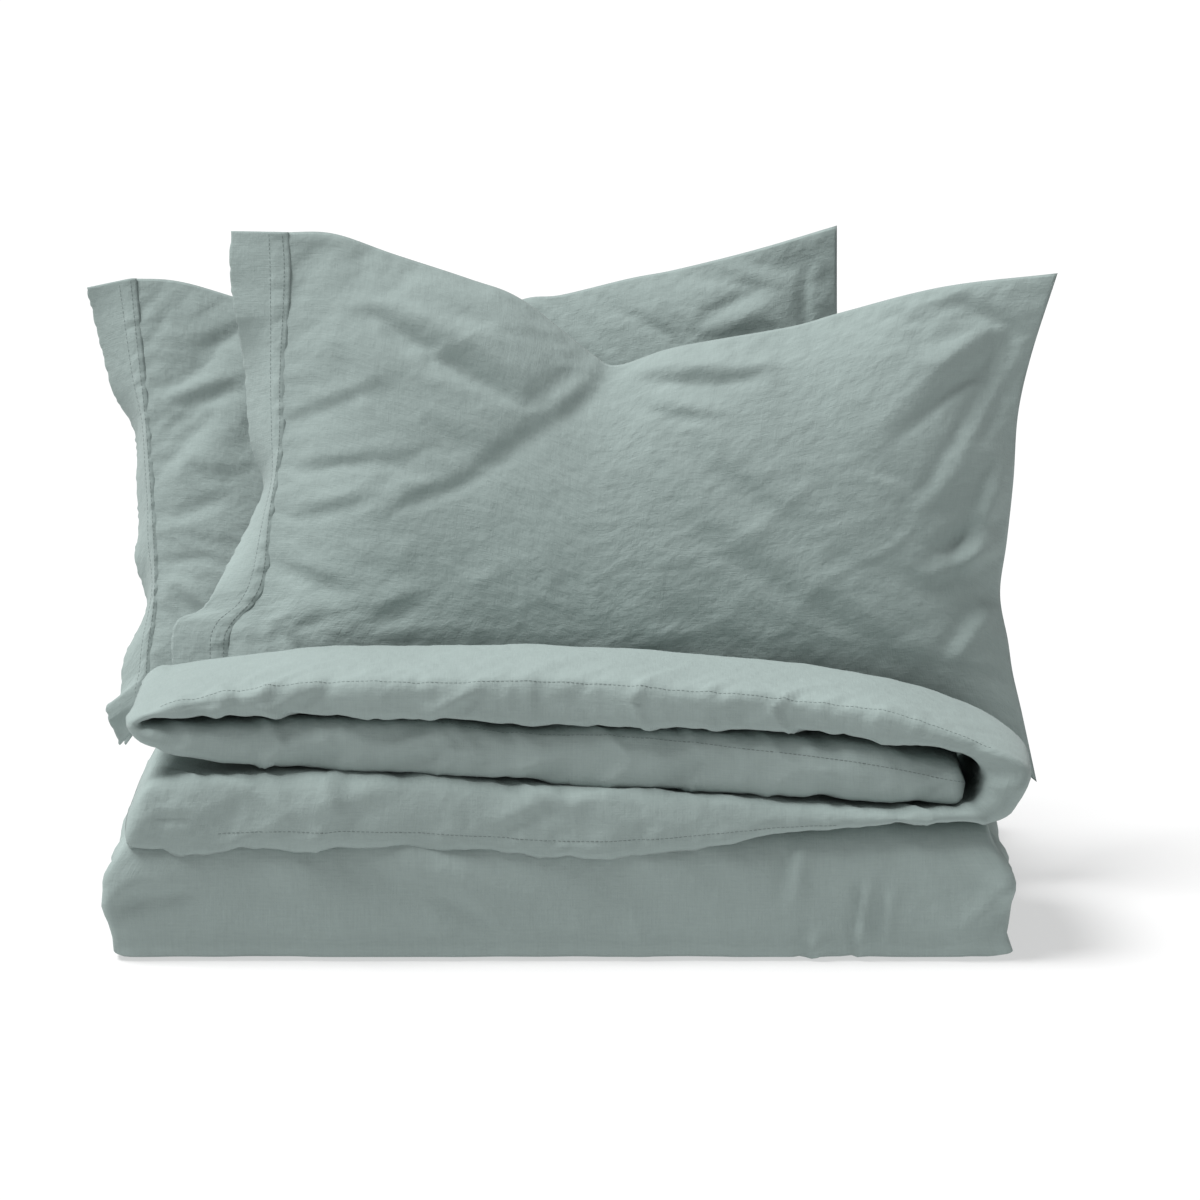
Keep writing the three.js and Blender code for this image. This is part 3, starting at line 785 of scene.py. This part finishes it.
def block_grid():
    """The folded quilt as a grid of steps along its line by points round its section, with cloth coordinates."""
    line, walked = folded_line()
    tangent = np.gradient(line, axis=0)
    tangent /= np.linalg.norm(tangent, axis=1, keepdims=True)
    across = np.stack([-tangent[:, 1], tangent[:, 0]], axis=1)
    loop_x, loop_n = quilt_section()
    ends = np.minimum(walked, walked[-1] - walked)
    rounding = np.sqrt(1 - np.clip(1 - ends / (LAYER / 2), 0, BLOCK_END_CLOSED) ** 2)[:, None]
    offset = loop_n[None, :] * LAYER / 2 * rounding
    y = line[:, None, 0] + offset * across[:, None, 0] + BLOCK_SHIFT
    z = line[:, None, 1] + offset * across[:, None, 1]
    x = np.broadcast_to(loop_x, y.shape)
    cloth = np.stack([x, np.broadcast_to(walked[:, None], x.shape)], axis=-1).reshape(-1, 2)
    return np.stack([x, y, z], axis=-1), cloth


# The block's front corners: level, which way is into the block, and how square.
SQUARE_CORNERS = ((0, 1, 6.0), (BLOCK_TOP - 0.0006, -1, TOP_POWER))
CORNER_LIMIT = 2
CORNER_START = 0.9
NOT_ZERO = 1e-9


def draw_out_corners(flat):
    """Draws the round front corners out: nearly square at the bottom, and a little at the top."""
    for level, up, power in SQUARE_CORNERS:
        deep = (BLOCK_FRONT_Y + BLOCK_ROUND - flat[:, 1]) / BLOCK_ROUND
        high = (BLOCK_ROUND - up * (flat[:, 2] - level)) / BLOCK_ROUND
        near_y = np.clip(deep, 0, CORNER_LIMIT)
        near_z = np.clip(high, 0, CORNER_LIMIT)
        reach = np.sqrt(near_y**2 + near_z**2)
        outer = (deep > 0) & (high > 0) & (reach > CORNER_START)
        stretch = reach / np.maximum(near_y**power + near_z**power, NOT_ZERO) ** (1 / power)
        flat[:, 1] = np.where(outer, BLOCK_FRONT_Y + BLOCK_ROUND * (1 - deep * stretch), flat[:, 1])
        flat[:, 2] = np.where(outer, level + up * BLOCK_ROUND * (1 - high * stretch), flat[:, 2])


# Folds on the block's front: (x0, z0, x1, z1, width, height).
BLOCK_FOLDS = [
    (-0.175, 0.102, -0.045, 0.030, 0.020, 0.0055),
    (-0.140, 0.104, -0.020, 0.040, 0.014, 0.0035),
    (-0.110, 0.080, -0.035, 0.020, 0.012, 0.0030),
    (-0.370, 0.058, -0.290, 0.066, 0.014, 0.0040),
    (-0.378, 0.030, -0.340, 0.075, 0.010, 0.0030),
    (0.197, 0.112, 0.190, 0.045, 0.010, 0.0045),
    (0.256, 0.080, 0.246, -0.010, 0.005, 0.0050),
    (0.276, 0.074, 0.269, 0.005, 0.005, 0.0034),
    (0.215, 0.034, 0.204, -0.010, 0.008, 0.0045),
    (0.330, 0.010, 0.384, 0.070, 0.014, 0.0045),
    (0.340, 0.080, 0.380, 0.040, 0.010, 0.0030),
    (0.030, 0.090, 0.140, 0.035, 0.024, 0.0030),
    (-0.270, 0.095, -0.190, 0.035, 0.024, 0.0026),
    (0.100, 0.105, 0.160, 0.060, 0.014, 0.0022),
]
# Each pair below is where a change starts and how wide it is.
FACE_BEGINS = (-0.17, 0.05)
FACE_FORWARD = (0.3, 0.6)
SWELL_HEIGHT = 0.0022
SWELL_SIZE = 0.13
SWELL_BEGINS = (0.004, 0.02)
BLOCK_FINE_HEIGHT = 0.0006
BLOCK_FINE = (0.03, 0.02, 0.02)
BLOCK_CREST_HEIGHT = 0.0016
BLOCK_CREST_SIZE = 0.07
BLOCK_CREST_SKEW = (0.5, 0.6)
END_BEGINS = (0.33, 0.05)
END_UNEVEN = 0.004
END_UNEVEN_SIZE = 0.035
DRAWN_BEGINS = (0.30, 0.07)
TOP_DRAWN_IN = 0.017
TOP_DRAWN_BEGINS = (0.066, 0.040)
FOOT_DRAWN_IN = 0.004
FOOT_DRAWN_BEGINS = (0.005, 0.005)
BULGE = (0.005, 0.050, 0.0010)  # height, level, spread
EAR = (0.009, 0.008, 0.0001)  # height, level, spread
EAR_BEGINS = (-0.235, 0.012)


def block_bumps(flat, normals):
    """How far each of the block's points stands out of its smooth shape."""
    facing = fall(flat[:, 1], *FACE_BEGINS) * fall(normals[:, 1], *FACE_FORWARD)
    along, upward = BLOCK_CREST_SKEW
    skewed = np.stack([flat[:, 0] + along * flat[:, 2], upward * flat[:, 2]], axis=1)
    bumps = folds_at(flat[:, [0, 2]], BLOCK_FOLDS) * facing
    bumps += SWELL_HEIGHT * noise(flat, SWELL_SIZE, 31) * rise(flat[:, 2], *SWELL_BEGINS)
    bumps += BLOCK_FINE_HEIGHT * noise(flat / BLOCK_FINE, 1, 33)
    bumps += BLOCK_CREST_HEIGHT * wrinkles(skewed, BLOCK_CREST_SIZE, 35) * facing
    return bumps


def bell(values, height, level, spread):
    return height * np.exp(-((values - level) ** 2) / spread)


def shape_ends(flat):
    """Makes the two ends uneven, draws them in at the top and the foot, and lets them bulge between."""
    outwards = np.sign(flat[:, 0])
    uneven = noise(flat[:, 1:], END_UNEVEN_SIZE, 34)
    flat[:, 0] += outwards * rise(np.abs(flat[:, 0]), *END_BEGINS) * END_UNEVEN * uneven
    z = flat[:, 2]
    inwards = TOP_DRAWN_IN * rise(z, *TOP_DRAWN_BEGINS) + FOOT_DRAWN_IN * fall(z, *FOOT_DRAWN_BEGINS)
    bulge = bell(z, *BULGE)
    bulge += bell(z, *EAR) * (flat[:, 0] > 0) * fall(flat[:, 1], *EAR_BEGINS)
    flat[:, 0] -= np.sign(flat[:, 0]) * (inwards - bulge) * rise(np.abs(flat[:, 0]), *DRAWN_BEGINS)


def add_block():
    """The quilt folded in its cover, as one padded piece."""
    grid, cloth = block_grid()
    rows, columns = grid.shape[:2]
    flat = grid.reshape(-1, 3)
    faces = grid_faces(rows, columns, wrap_columns=True)
    normals = normals_of(flat, faces)
    draw_out_corners(flat)
    flat = flat + normals * block_bumps(flat, normals)[:, None]
    shape_ends(flat)
    flat[:, 2] = np.maximum(flat[:, 2], BLOCK_LOWEST)
    block = make_object("duvet_block", flat, [*faces, *end_rings(rows, columns)], COTTON, cloth)
    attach(block, "duvet")
    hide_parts(*[n for n in NODES if n.startswith(("duvet_", "quilt_"))])


# ---------------------------------------------------------------- pillows

PILLOW_LEAN = math.radians(12)
PILLOW_FEET = {"front_pillow": 0.0101, "back_pillow": 0.1481}
PILLOW_BASE = 0.1198
PANEL_COLUMNS = 112
PANEL_ROWS = 80
HALF_PANEL = 0.35
CRUMPLE_SKEW = np.array([[0.8, -0.5], [0.5, 1.3]])
HEM_THICKNESS = 0.0014
HEM_DEPTH = 0.050
CASE_HEIGHT = 0.50
HEM_LAP = 0.096  # share of the hem's depth that laps over the case


class Pillow:
    """One pillow in its case. Its outlines are (x, height) points in the plane that leans back, in metres."""

    def __init__(self, name, top, right, bottom, seam, hem_edge, fullness, limit, folds, seed):
        self.name = name
        self.top = top
        self.right = right
        self.bottom = bottom
        self.seam = seam
        self.hem_edge = hem_edge
        self.fullness = fullness
        self.limit = limit
        self.folds = folds
        self.seed = seed

    def to_frame(self, flat):
        """Points of (x, depth, height) in the pillow's plane, as points of the frame."""
        x, depth, height = flat.T
        lean_cos = math.cos(PILLOW_LEAN)
        lean_sin = math.sin(PILLOW_LEAN)
        y = PILLOW_FEET[self.name] + depth * lean_cos + height * lean_sin
        z = PILLOW_BASE - depth * lean_sin + height * lean_cos
        return np.stack([x + FRAME_SHIFT, y, z], axis=1)

    def patch(self, across, up):
        """A Coons patch between the four edges: (x, height) for shares across and up."""
        a = across[None, :, None]
        u = up[:, None, None]
        top = curve_through(lapped(self.top), at=across)[None]
        bottom = curve_through(lapped(self.bottom), at=across)[None]
        left = (curve_through(self.seam, at=up) - (HEM_LAP * HEM_DEPTH, 0))[:, None]
        right = curve_through(self.right, at=up)[:, None]
        corners = (
            (1 - a) * (1 - u) * bottom[:, :1] + a * (1 - u) * bottom[:, -1:]
            + (1 - a) * u * top[:, :1] + a * u * top[:, -1:]
        )
        return (1 - a) * left + a * right + (1 - u) * bottom + u * top - corners


def lapped(edge):
    """A top or bottom edge, begun as far left of the seam as the hem band laps over the case."""
    (x, height), *rest = edge
    return [(x - HEM_LAP * HEM_DEPTH, height), *rest]


SIDE_POWER = 2.6
LEFT_SHARPNESS = 1.0
RIGHT_SHARPNESS = 0.75
BELLY_LOWNESS = 0.66
BELLY_SHARPNESS = 0.80
FOLDS_BEGIN = 0.3  # share of the full swell at which the named folds are whole
LUMP_SIZE = 0.10
FRONT_LUMPS = 0.005
BACK_LUMPS = 0.004
FRONT_CRESTS = 0.005
FRONT_CREST_SIZE = 0.085
GATHER_NEARNESS = (0.5, 0.9, 1.3, 2.0)  # left, right, top and bottom edge
GATHER_REACH = 0.16
GATHER_LEVEL = 0.55
GATHER_CHANGE = 0.45
GATHER_SIZE = 0.06


def panel_depths(pillow, place, a, u):
    """The depth of the front panel, with its folds and lumps, and of the back panel."""
    side = np.maximum(1 - np.abs(a) ** SIDE_POWER, 0) ** np.where(a < 0, LEFT_SHARPNESS, RIGHT_SHARPNESS)
    belly = np.maximum(np.sin(np.pi * u**BELLY_LOWNESS), 0) ** BELLY_SHARPNESS
    swell = (pillow.fullness * side * belly).ravel()
    inside = (side * belly).ravel()
    folds = folds_at(place, pillow.folds) * smooth(inside / FOLDS_BEGIN)
    lumps = FRONT_LUMPS * noise(place, LUMP_SIZE, pillow.seed) * inside
    lumps += FRONT_CRESTS * wrinkles(place @ CRUMPLE_SKEW, FRONT_CREST_SIZE, pillow.seed + 3) * inside
    return -swell - folds - lumps, swell + BACK_LUMPS * noise(place, LUMP_SIZE, pillow.seed + 1) * inside


def gathering(pillow, place, a, u):
    """How much slack each point of a panel has: most, and unevenly, beside the seams."""
    left, right, top, bottom = GATHER_NEARNESS
    edge = np.minimum.reduce([(a + 1) * left, (1 - a) * right, (1 - u) * top, u * bottom]).ravel()
    return smooth(1 - edge / GATHER_REACH) * (
        GATHER_LEVEL + GATHER_CHANGE * noise(place, GATHER_SIZE, pillow.seed + 2)
    )


def panel_rim():
    rim = np.zeros((PANEL_ROWS, PANEL_COLUMNS), bool)
    rim[[0, -1], :] = True
    rim[:, [0, -1]] = True
    return rim.ravel()


def sewn_faces(rim):
    """Both panels' faces. The back panel shares the front one's rim, and its other points come after."""
    quads = grid_faces(PANEL_ROWS, PANEL_COLUMNS)
    second = np.arange(len(rim))
    second[~rim] = len(rim) + np.arange((~rim).sum())
    return np.vstack([quads, second[quads][:, ::-1]])


def pillow_grid(pillow):
    """The case before it is filled: points, sewn rim, gathering and cloth coordinates."""
    across = np.linspace(0, 1, PANEL_COLUMNS)
    up = np.linspace(0, 1, PANEL_ROWS)
    place = pillow.patch(across, up).reshape(-1, 2)
    a, u = np.meshgrid(2 * across - 1, up)
    front, back = [
        np.stack([place[:, 0], depth, place[:, 1]], axis=1) for depth in panel_depths(pillow, place, a, u)
    ]
    rim = panel_rim()
    front[rim, 1] = 0
    gather = gathering(pillow, place, a, u)
    cloth = np.stack([HALF_PANEL * a, CASE_HEIGHT * u], axis=-1).reshape(-1, 2)
    points = np.vstack([front, back[~rim]])
    return points, rim, np.concatenate([gather, gather[~rim]]), np.concatenate([cloth, cloth[~rim]])


CLOTH_FRAMES = 34
CLOTH_SETTINGS = {
    "quality": 5,
    "mass": 0.2,
    "tension_stiffness": 24,
    "compression_stiffness": 24,
    "shear_stiffness": 6,
    "bending_stiffness": 0.03,
    "tension_damping": 4,
    "compression_damping": 4,
    "shear_damping": 2,
    "bending_damping": 0.5,
    "air_damping": 2,
    "shrink_min": -0.014,  # slack everywhere
    "shrink_max": -0.050,  # slack beside the seams
    "vertex_group_shrink": "gathered",
    "vertex_group_mass": "rim",
    "use_pressure": True,
    "uniform_pressure_force": 3.0,
}


def blow_up(made, pinned, gather):
    """Fills a sewn case: slack cloth, held at its sewn edge and pressed out from inside, until it has creased."""
    rim = made.vertex_groups.new(name="rim")
    rim.add([int(i) for i in np.flatnonzero(pinned)], 1, "REPLACE")
    gathered = made.vertex_groups.new(name="gathered")
    for i, weight in enumerate(gather):
        gathered.add([i], float(np.clip(weight, 0, 1)), "REPLACE")
    cloth = made.modifiers.new("cloth", "CLOTH")
    for setting, value in CLOTH_SETTINGS.items():
        setattr(cloth.settings, setting, value)
    cloth.settings.effector_weights.gravity = 0
    cloth.collision_settings.use_collision = False
    cloth.point_cache.frame_start = 1
    cloth.point_cache.frame_end = CLOTH_FRAMES
    scene = bpy.context.scene
    for number in range(1, CLOTH_FRAMES + 1):
        scene.frame_set(number)
    shown = made.evaluated_get(bpy.context.evaluated_depsgraph_get())
    points = np.zeros(len(shown.data.vertices) * 3, np.float32)
    shown.data.vertices.foreach_get("co", points)
    made.modifiers.remove(cloth)
    made.vertex_groups.clear()
    scene.frame_set(1)
    return points.reshape(-1, 3).astype(float)


LEAST_DEPTH = 0.0006
FOOT_DEPTH = 0.046
DEPTH_PER_HEIGHT = 0.21
DEPTH_EASE = 1.05
CASE_FINE = ((0.013, 0.030), (0.034, 0.012))
CASE_FINE_HEIGHT = 0.0004
CASE_CREST_SIZE = 0.040
CASE_CREST_HEIGHT = 0.0009
CASE_PUCKER = (0.011, 0.05)
CASE_PUCKER_HEIGHT = 0.0022
CASE_PUCKER_REACH = 0.020
WRINKLES_BEGIN = 0.008  # depth at which the fine wrinkles are whole


def case_wrinkles(seed, side, cloth):
    """The case's fine creases, and the puckers beside the hem's seam."""
    first, second = CASE_FINE
    fine = noise(np.column_stack([cloth / first, side]), 1, seed + 5) * CASE_FINE_HEIGHT
    fine += noise(np.column_stack([cloth / second, side]), 1, seed + 6) * CASE_FINE_HEIGHT
    fine += wrinkles(cloth @ CRUMPLE_SKEW + side[:, None], CASE_CREST_SIZE, seed + 7) * CASE_CREST_HEIGHT
    from_seam = cloth[:, 0] + HALF_PANEL
    pucker = noise(np.column_stack([cloth[:, 1], from_seam]) / CASE_PUCKER, 1, seed + 8)
    return fine + CASE_PUCKER_HEIGHT * pucker * np.exp(-from_seam / CASE_PUCKER_REACH)


def add_case(pillow):
    """One filled pillowcase: simulated, kept within the pillow's depth, then finely wrinkled."""
    points, rim, gather, cloth = pillow_grid(pillow)
    case = make_object(f"{pillow.name}case", points, sewn_faces(rim), COTTON, cloth)
    pinned = np.concatenate([rim, np.zeros(len(points) - len(rim), bool)])
    side = np.where(np.arange(len(points)) < len(rim), -1, 1)
    points = blow_up(case, pinned, gather)
    depth = np.maximum(points[:, 1] * side, np.where(pinned, 0, LEAST_DEPTH))
    most = np.minimum(pillow.limit, FOOT_DEPTH + DEPTH_PER_HEIGHT * np.maximum(points[:, 2], 0))
    points[:, 1] = side * most * np.tanh(depth / most * DEPTH_EASE)
    fine = case_wrinkles(pillow.seed, side, cloth)
    points[:, 1] += np.where(pinned, 0, side * fine * smooth(depth / WRINKLES_BEGIN))
    case.data.vertices.foreach_set("co", pillow.to_frame(points).astype(np.float32).ravel())
    case.data.update()
    subdivide(case, pinned)
    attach(case, pillow.name)
    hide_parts(*[n for n in NODES if n.startswith(pillow.name)])


def subdivide(made, sharp):
    """Rounds a mesh once, for good, and keeps the edges between its sharp vertices where they are."""
    mesh = made.data
    ends = np.zeros(len(mesh.edges) * 2, int)
    mesh.edges.foreach_get("vertices", ends)
    crease = mesh.attributes.new("crease_edge", "FLOAT", "EDGE")
    crease.data.foreach_set("value", sharp[ends.reshape(-1, 2)].all(axis=1).astype(np.float32))
    modifier = made.modifiers.new("rounder", "SUBSURF")
    modifier.levels = 1
    modifier.render_levels = 1
    graph = bpy.context.evaluated_depsgraph_get()
    graph.update()
    rounded = made.evaluated_get(graph)
    mesh = bpy.data.meshes.new_from_object(rounded, preserve_all_data_layers=True, depsgraph=graph)
    made.modifiers.remove(modifier)
    made.data = mesh


# ---------------------------------------------------------------- the hem bands

FLANGE_ACROSS = 26
FLANGE_UP = 240
HEM_LEAST_TURN = 0.016
HEM_OPENING = 0.011
HEM_OFFSET = 0.0012
BACK_SHORTER = 0.004
FIRST_ROW = 0.015  # shares of the hem's depth where its rows of stitches run
SECOND_ROW = 0.27
TURN_POWER = 1.3
OPENING_POWER = 1.5
RIPPLE_SIZE = (0.075, 0.09)
RIPPLE_HEIGHT = 0.0050
SMALL_RIPPLE_SIZE = (0.022, 0.05)
SMALL_RIPPLE_HEIGHT = 0.0016
FELLED_HEIGHT = 0.0006
FELLED_EDGE = 0.05
FELLED_PUCKER_HEIGHT = 0.0009
FELLED_PUCKER_EDGE = 0.04
FELLED_PUCKER_SIZE = (0.0075, 0.05)
FRAY_HEIGHT = 0.0010
FRAY_SIZE = 0.004
HEM_CLOTH_START = (0.4, 0)  # beside the case's own cloth coordinates


def hem_relief(cloth, out, seed):
    """The ripples of a band's free part, and the raised, puckered strip between its two rows of stitches."""
    ripple = noise(cloth / RIPPLE_SIZE, 1, seed) * RIPPLE_HEIGHT
    ripple = ripple + noise(cloth / SMALL_RIPPLE_SIZE, 1, seed + 1) * SMALL_RIPPLE_HEIGHT
    puckers = noise(cloth / FELLED_PUCKER_SIZE, 1, seed + 4).reshape(out.shape)
    felled = FELLED_HEIGHT * fall(out, SECOND_ROW, FELLED_EDGE)
    felled += FELLED_PUCKER_HEIGHT * fall(out, SECOND_ROW, FELLED_PUCKER_EDGE) * puckers
    return ripple.reshape(out.shape) * np.clip(out, 0, 1), felled


def hem_points(pillow, side):
    """One band's outer face as a grid of (x, depth, height) from the seam to the free edge, and cloth places."""
    up = np.linspace(0, 1, FLANGE_UP)
    seam = curve_through(pillow.seam, at=up)
    edge = curve_through(pillow.hem_edge, at=up)
    if side > 0:
        edge = edge + (BACK_SHORTER, 0)
    u, out = np.meshgrid(up, np.linspace(-HEM_LAP, 1, FLANGE_ACROSS), indexing="ij")
    free = np.clip(out, 0, 1)
    shifted = seam - (HEM_LAP * HEM_DEPTH, 0)
    place = shifted[:, None] + free[..., None] * (edge - shifted)[:, None]
    place[..., 0] += np.clip(-out, 0, 1) * HEM_DEPTH
    cloth = np.stack([u * CASE_HEIGHT, out * HEM_DEPTH], axis=-1).reshape(-1, 2)
    seed = pillow.seed + 40
    ripple, felled = hem_relief(cloth, out, seed)
    place[:, -1, 0] += FRAY_HEIGHT * noise(np.column_stack([up * CASE_HEIGHT, 0 * up]), FRAY_SIZE, seed + 2)
    width = np.linalg.norm(edge - seam, axis=1)[:, None]
    turned = np.sqrt(np.maximum(HEM_DEPTH**2 - width**2, HEM_LEAST_TURN**2)) * free**TURN_POWER
    apart = HEM_OFFSET + felled + (HEM_OPENING * free**OPENING_POWER if side > 0 else 0)
    depth = side * apart + turned + ripple
    return np.stack([place[..., 0], depth, place[..., 1]], axis=-1), cloth


def add_hem_stitches(pillow, side, label, outer):
    """The two rows of stitches on a band's outer face."""
    face = outer.reshape(-1, 3)
    normals = normals_of(face, grid_faces(FLANGE_UP, FLANGE_ACROSS)).reshape(outer.shape)
    normals *= np.sign(normals[..., 1:2] * side + NOT_ZERO)
    made = []
    for number, share in enumerate((FIRST_ROW, SECOND_ROW)):
        at = (share + HEM_LAP) / (1 + HEM_LAP) * (FLANGE_ACROSS - 1)
        low = int(at)
        part = at - low
        line = (1 - part) * outer[:, low] + part * outer[:, low + 1]
        up = (1 - part) * normals[:, low] + part * normals[:, low + 1]
        base = pillow.to_frame(line)
        tip = pillow.to_frame(line + up) - base
        made.append(add_stitches(f"{pillow.name}_stitches_{label}_{number}", base, tip, pillow.name))
    return made


def add_hem(pillow, side):
    """One hem band, front (side -1) or back (side 1), and its two rows of stitches."""
    outer, cloth = hem_points(pillow, side)
    inner = outer - (0, side * HEM_THICKNESS, 0)
    loop = np.concatenate([outer, inner[:, ::-1]], axis=1)
    rows, columns = loop.shape[:2]
    faces = grid_faces(rows, columns, wrap_columns=True)
    if side < 0:
        faces = faces[:, ::-1]
    cloth = cloth.reshape(rows, -1, 2)
    cloth = np.concatenate([cloth, cloth[:, ::-1]], axis=1)[..., ::-1].reshape(-1, 2) + HEM_CLOTH_START
    label = "front" if side < 0 else "back"
    points = pillow.to_frame(loop.reshape(-1, 3))
    hem = make_object(
        f"{pillow.name}_hem_{label}", points, [*faces, *end_rings(rows, columns)], COTTON, cloth
    )
    fix_facing(hem)
    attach(hem, pillow.name)
    stitches = add_hem_stitches(pillow, side, label, outer)


def add_pillow(pillow):
    add_case(pillow)
    add_hem(pillow, -1)
    add_hem(pillow, 1)


FRONT = Pillow(
    "front_pillow",
    top=[(-0.239, 0.457), (-0.200, 0.456), (-0.147, 0.438), (-0.080, 0.416), (-0.034, 0.398), (0.028, 0.350),
         (0.050, 0.340), (0.101, 0.356), (0.202, 0.374), (0.245, 0.386), (0.336, 0.409), (0.437, 0.421)],
    right=[(0.418, -0.026), (0.405, 0.035), (0.397, 0.070), (0.393, 0.098), (0.386, 0.139), (0.392, 0.185),
           (0.398, 0.240), (0.402, 0.297), (0.414, 0.350), (0.437, 0.421)],
    bottom=[(-0.285, 0.004), (-0.150, 0.001), (0.200, 0.001), (0.370, 0.003), (0.418, -0.026)],
    seam=[(-0.285, 0.004), (-0.290, 0.088), (-0.284, 0.112), (-0.264, 0.135), (-0.255, 0.159), (-0.251, 0.205),
          (-0.242, 0.270), (-0.241, 0.334), (-0.237, 0.417), (-0.239, 0.457)],
    hem_edge=[(-0.335, 0.000), (-0.342, 0.082), (-0.338, 0.115), (-0.314, 0.128), (-0.294, 0.165),
              (-0.275, 0.205), (-0.264, 0.236), (-0.275, 0.277), (-0.281, 0.350), (-0.291, 0.417),
              (-0.290, 0.459)],
    fullness=0.058,
    limit=0.068,
    folds=[
        (0.078, 0.222, 0.342, 0.063, 0.022, 0.0080),
        (0.250, 0.245, 0.431, 0.412, 0.018, 0.0110),
        (0.415, 0.380, 0.300, 0.190, 0.014, 0.0075),
        (0.400, 0.300, 0.335, 0.130, 0.014, 0.0080),
        (0.392, 0.200, 0.300, 0.150, 0.014, 0.0070),
        (0.390, 0.150, 0.330, 0.075, 0.012, 0.0060),
        (0.405, 0.330, 0.360, 0.250, 0.010, 0.0060),
        (-0.238, 0.292, -0.150, 0.325, 0.008, 0.0026),
        (-0.240, 0.250, -0.120, 0.262, 0.009, 0.0030),
        (-0.245, 0.205, -0.150, 0.225, 0.010, 0.0032),
        (-0.120, 0.150, -0.230, 0.100, 0.014, 0.0050),
        (-0.248, 0.170, -0.170, 0.140, 0.010, 0.0026),
        (-0.222, 0.430, 0.005, 0.290, 0.018, 0.0140),
        (-0.215, 0.400, -0.150, 0.300, 0.016, 0.0040),
        (0.040, 0.326, 0.200, 0.330, 0.014, 0.0090),
        (-0.004, 0.288, 0.036, 0.330, 0.012, 0.0040),
        (0.070, 0.300, 0.150, 0.290, 0.008, 0.0040),
        (-0.125, 0.320, -0.050, 0.250, 0.020, 0.0040),
        (-0.100, 0.270, -0.170, 0.200, 0.016, 0.0040),
        (-0.260, 0.105, -0.100, 0.140, 0.014, 0.0050),
        (0.020, 0.120, 0.120, 0.080, 0.020, 0.0050),
        (0.120, 0.260, 0.230, 0.190, 0.020, 0.0050),
    ],
    seed=11,
)

BACK = Pillow(
    "back_pillow",
    top=[(-0.384, 0.398), (-0.349, 0.396), (-0.301, 0.383), (-0.200, 0.350), (-0.100, 0.352), (-0.036, 0.379),
         (-0.001, 0.383), (0.061, 0.398), (0.103, 0.406), (0.175, 0.424), (0.249, 0.446)],
    right=[(0.318, 0.000), (0.290, 0.100), (0.262, 0.200), (0.250, 0.300), (0.249, 0.366), (0.249, 0.446)],
    bottom=[(-0.369, 0.002), (-0.200, 0.001), (0.150, 0.001), (0.280, 0.002), (0.318, 0.000)],
    seam=[(-0.369, 0.002), (-0.369, 0.054), (-0.363, 0.105), (-0.363, 0.158), (-0.370, 0.261), (-0.379, 0.348),
          (-0.384, 0.398)],
    hem_edge=[(-0.401, -0.024), (-0.412, 0.009), (-0.401, 0.022), (-0.397, 0.057), (-0.378, 0.102),
              (-0.388, 0.143), (-0.385, 0.175), (-0.387, 0.213), (-0.390, 0.261), (-0.408, 0.296),
              (-0.417, 0.330), (-0.431, 0.391)],
    fullness=0.052,
    limit=0.060,
    folds=[
        (-0.372, 0.330, -0.270, 0.360, 0.012, 0.0030),
        (-0.370, 0.285, -0.280, 0.300, 0.010, 0.0034),
        (-0.365, 0.240, -0.280, 0.215, 0.010, 0.0034),
        (-0.360, 0.180, -0.270, 0.150, 0.010, 0.0030),
        (-0.355, 0.130, -0.300, 0.080, 0.010, 0.0050),
        (0.224, 0.440, 0.222, 0.340, 0.007, 0.0060),
        (0.215, 0.400, 0.120, 0.345, 0.014, 0.0070),
        (0.160, 0.400, 0.050, 0.372, 0.010, 0.0040),
    ],
    seed=71,
)

add_camera()
add_world()
add_sun()
add_floor()
add_block()
add_cover_stitches(*add_cover())
add_pillow(FRONT)
add_pillow(BACK)
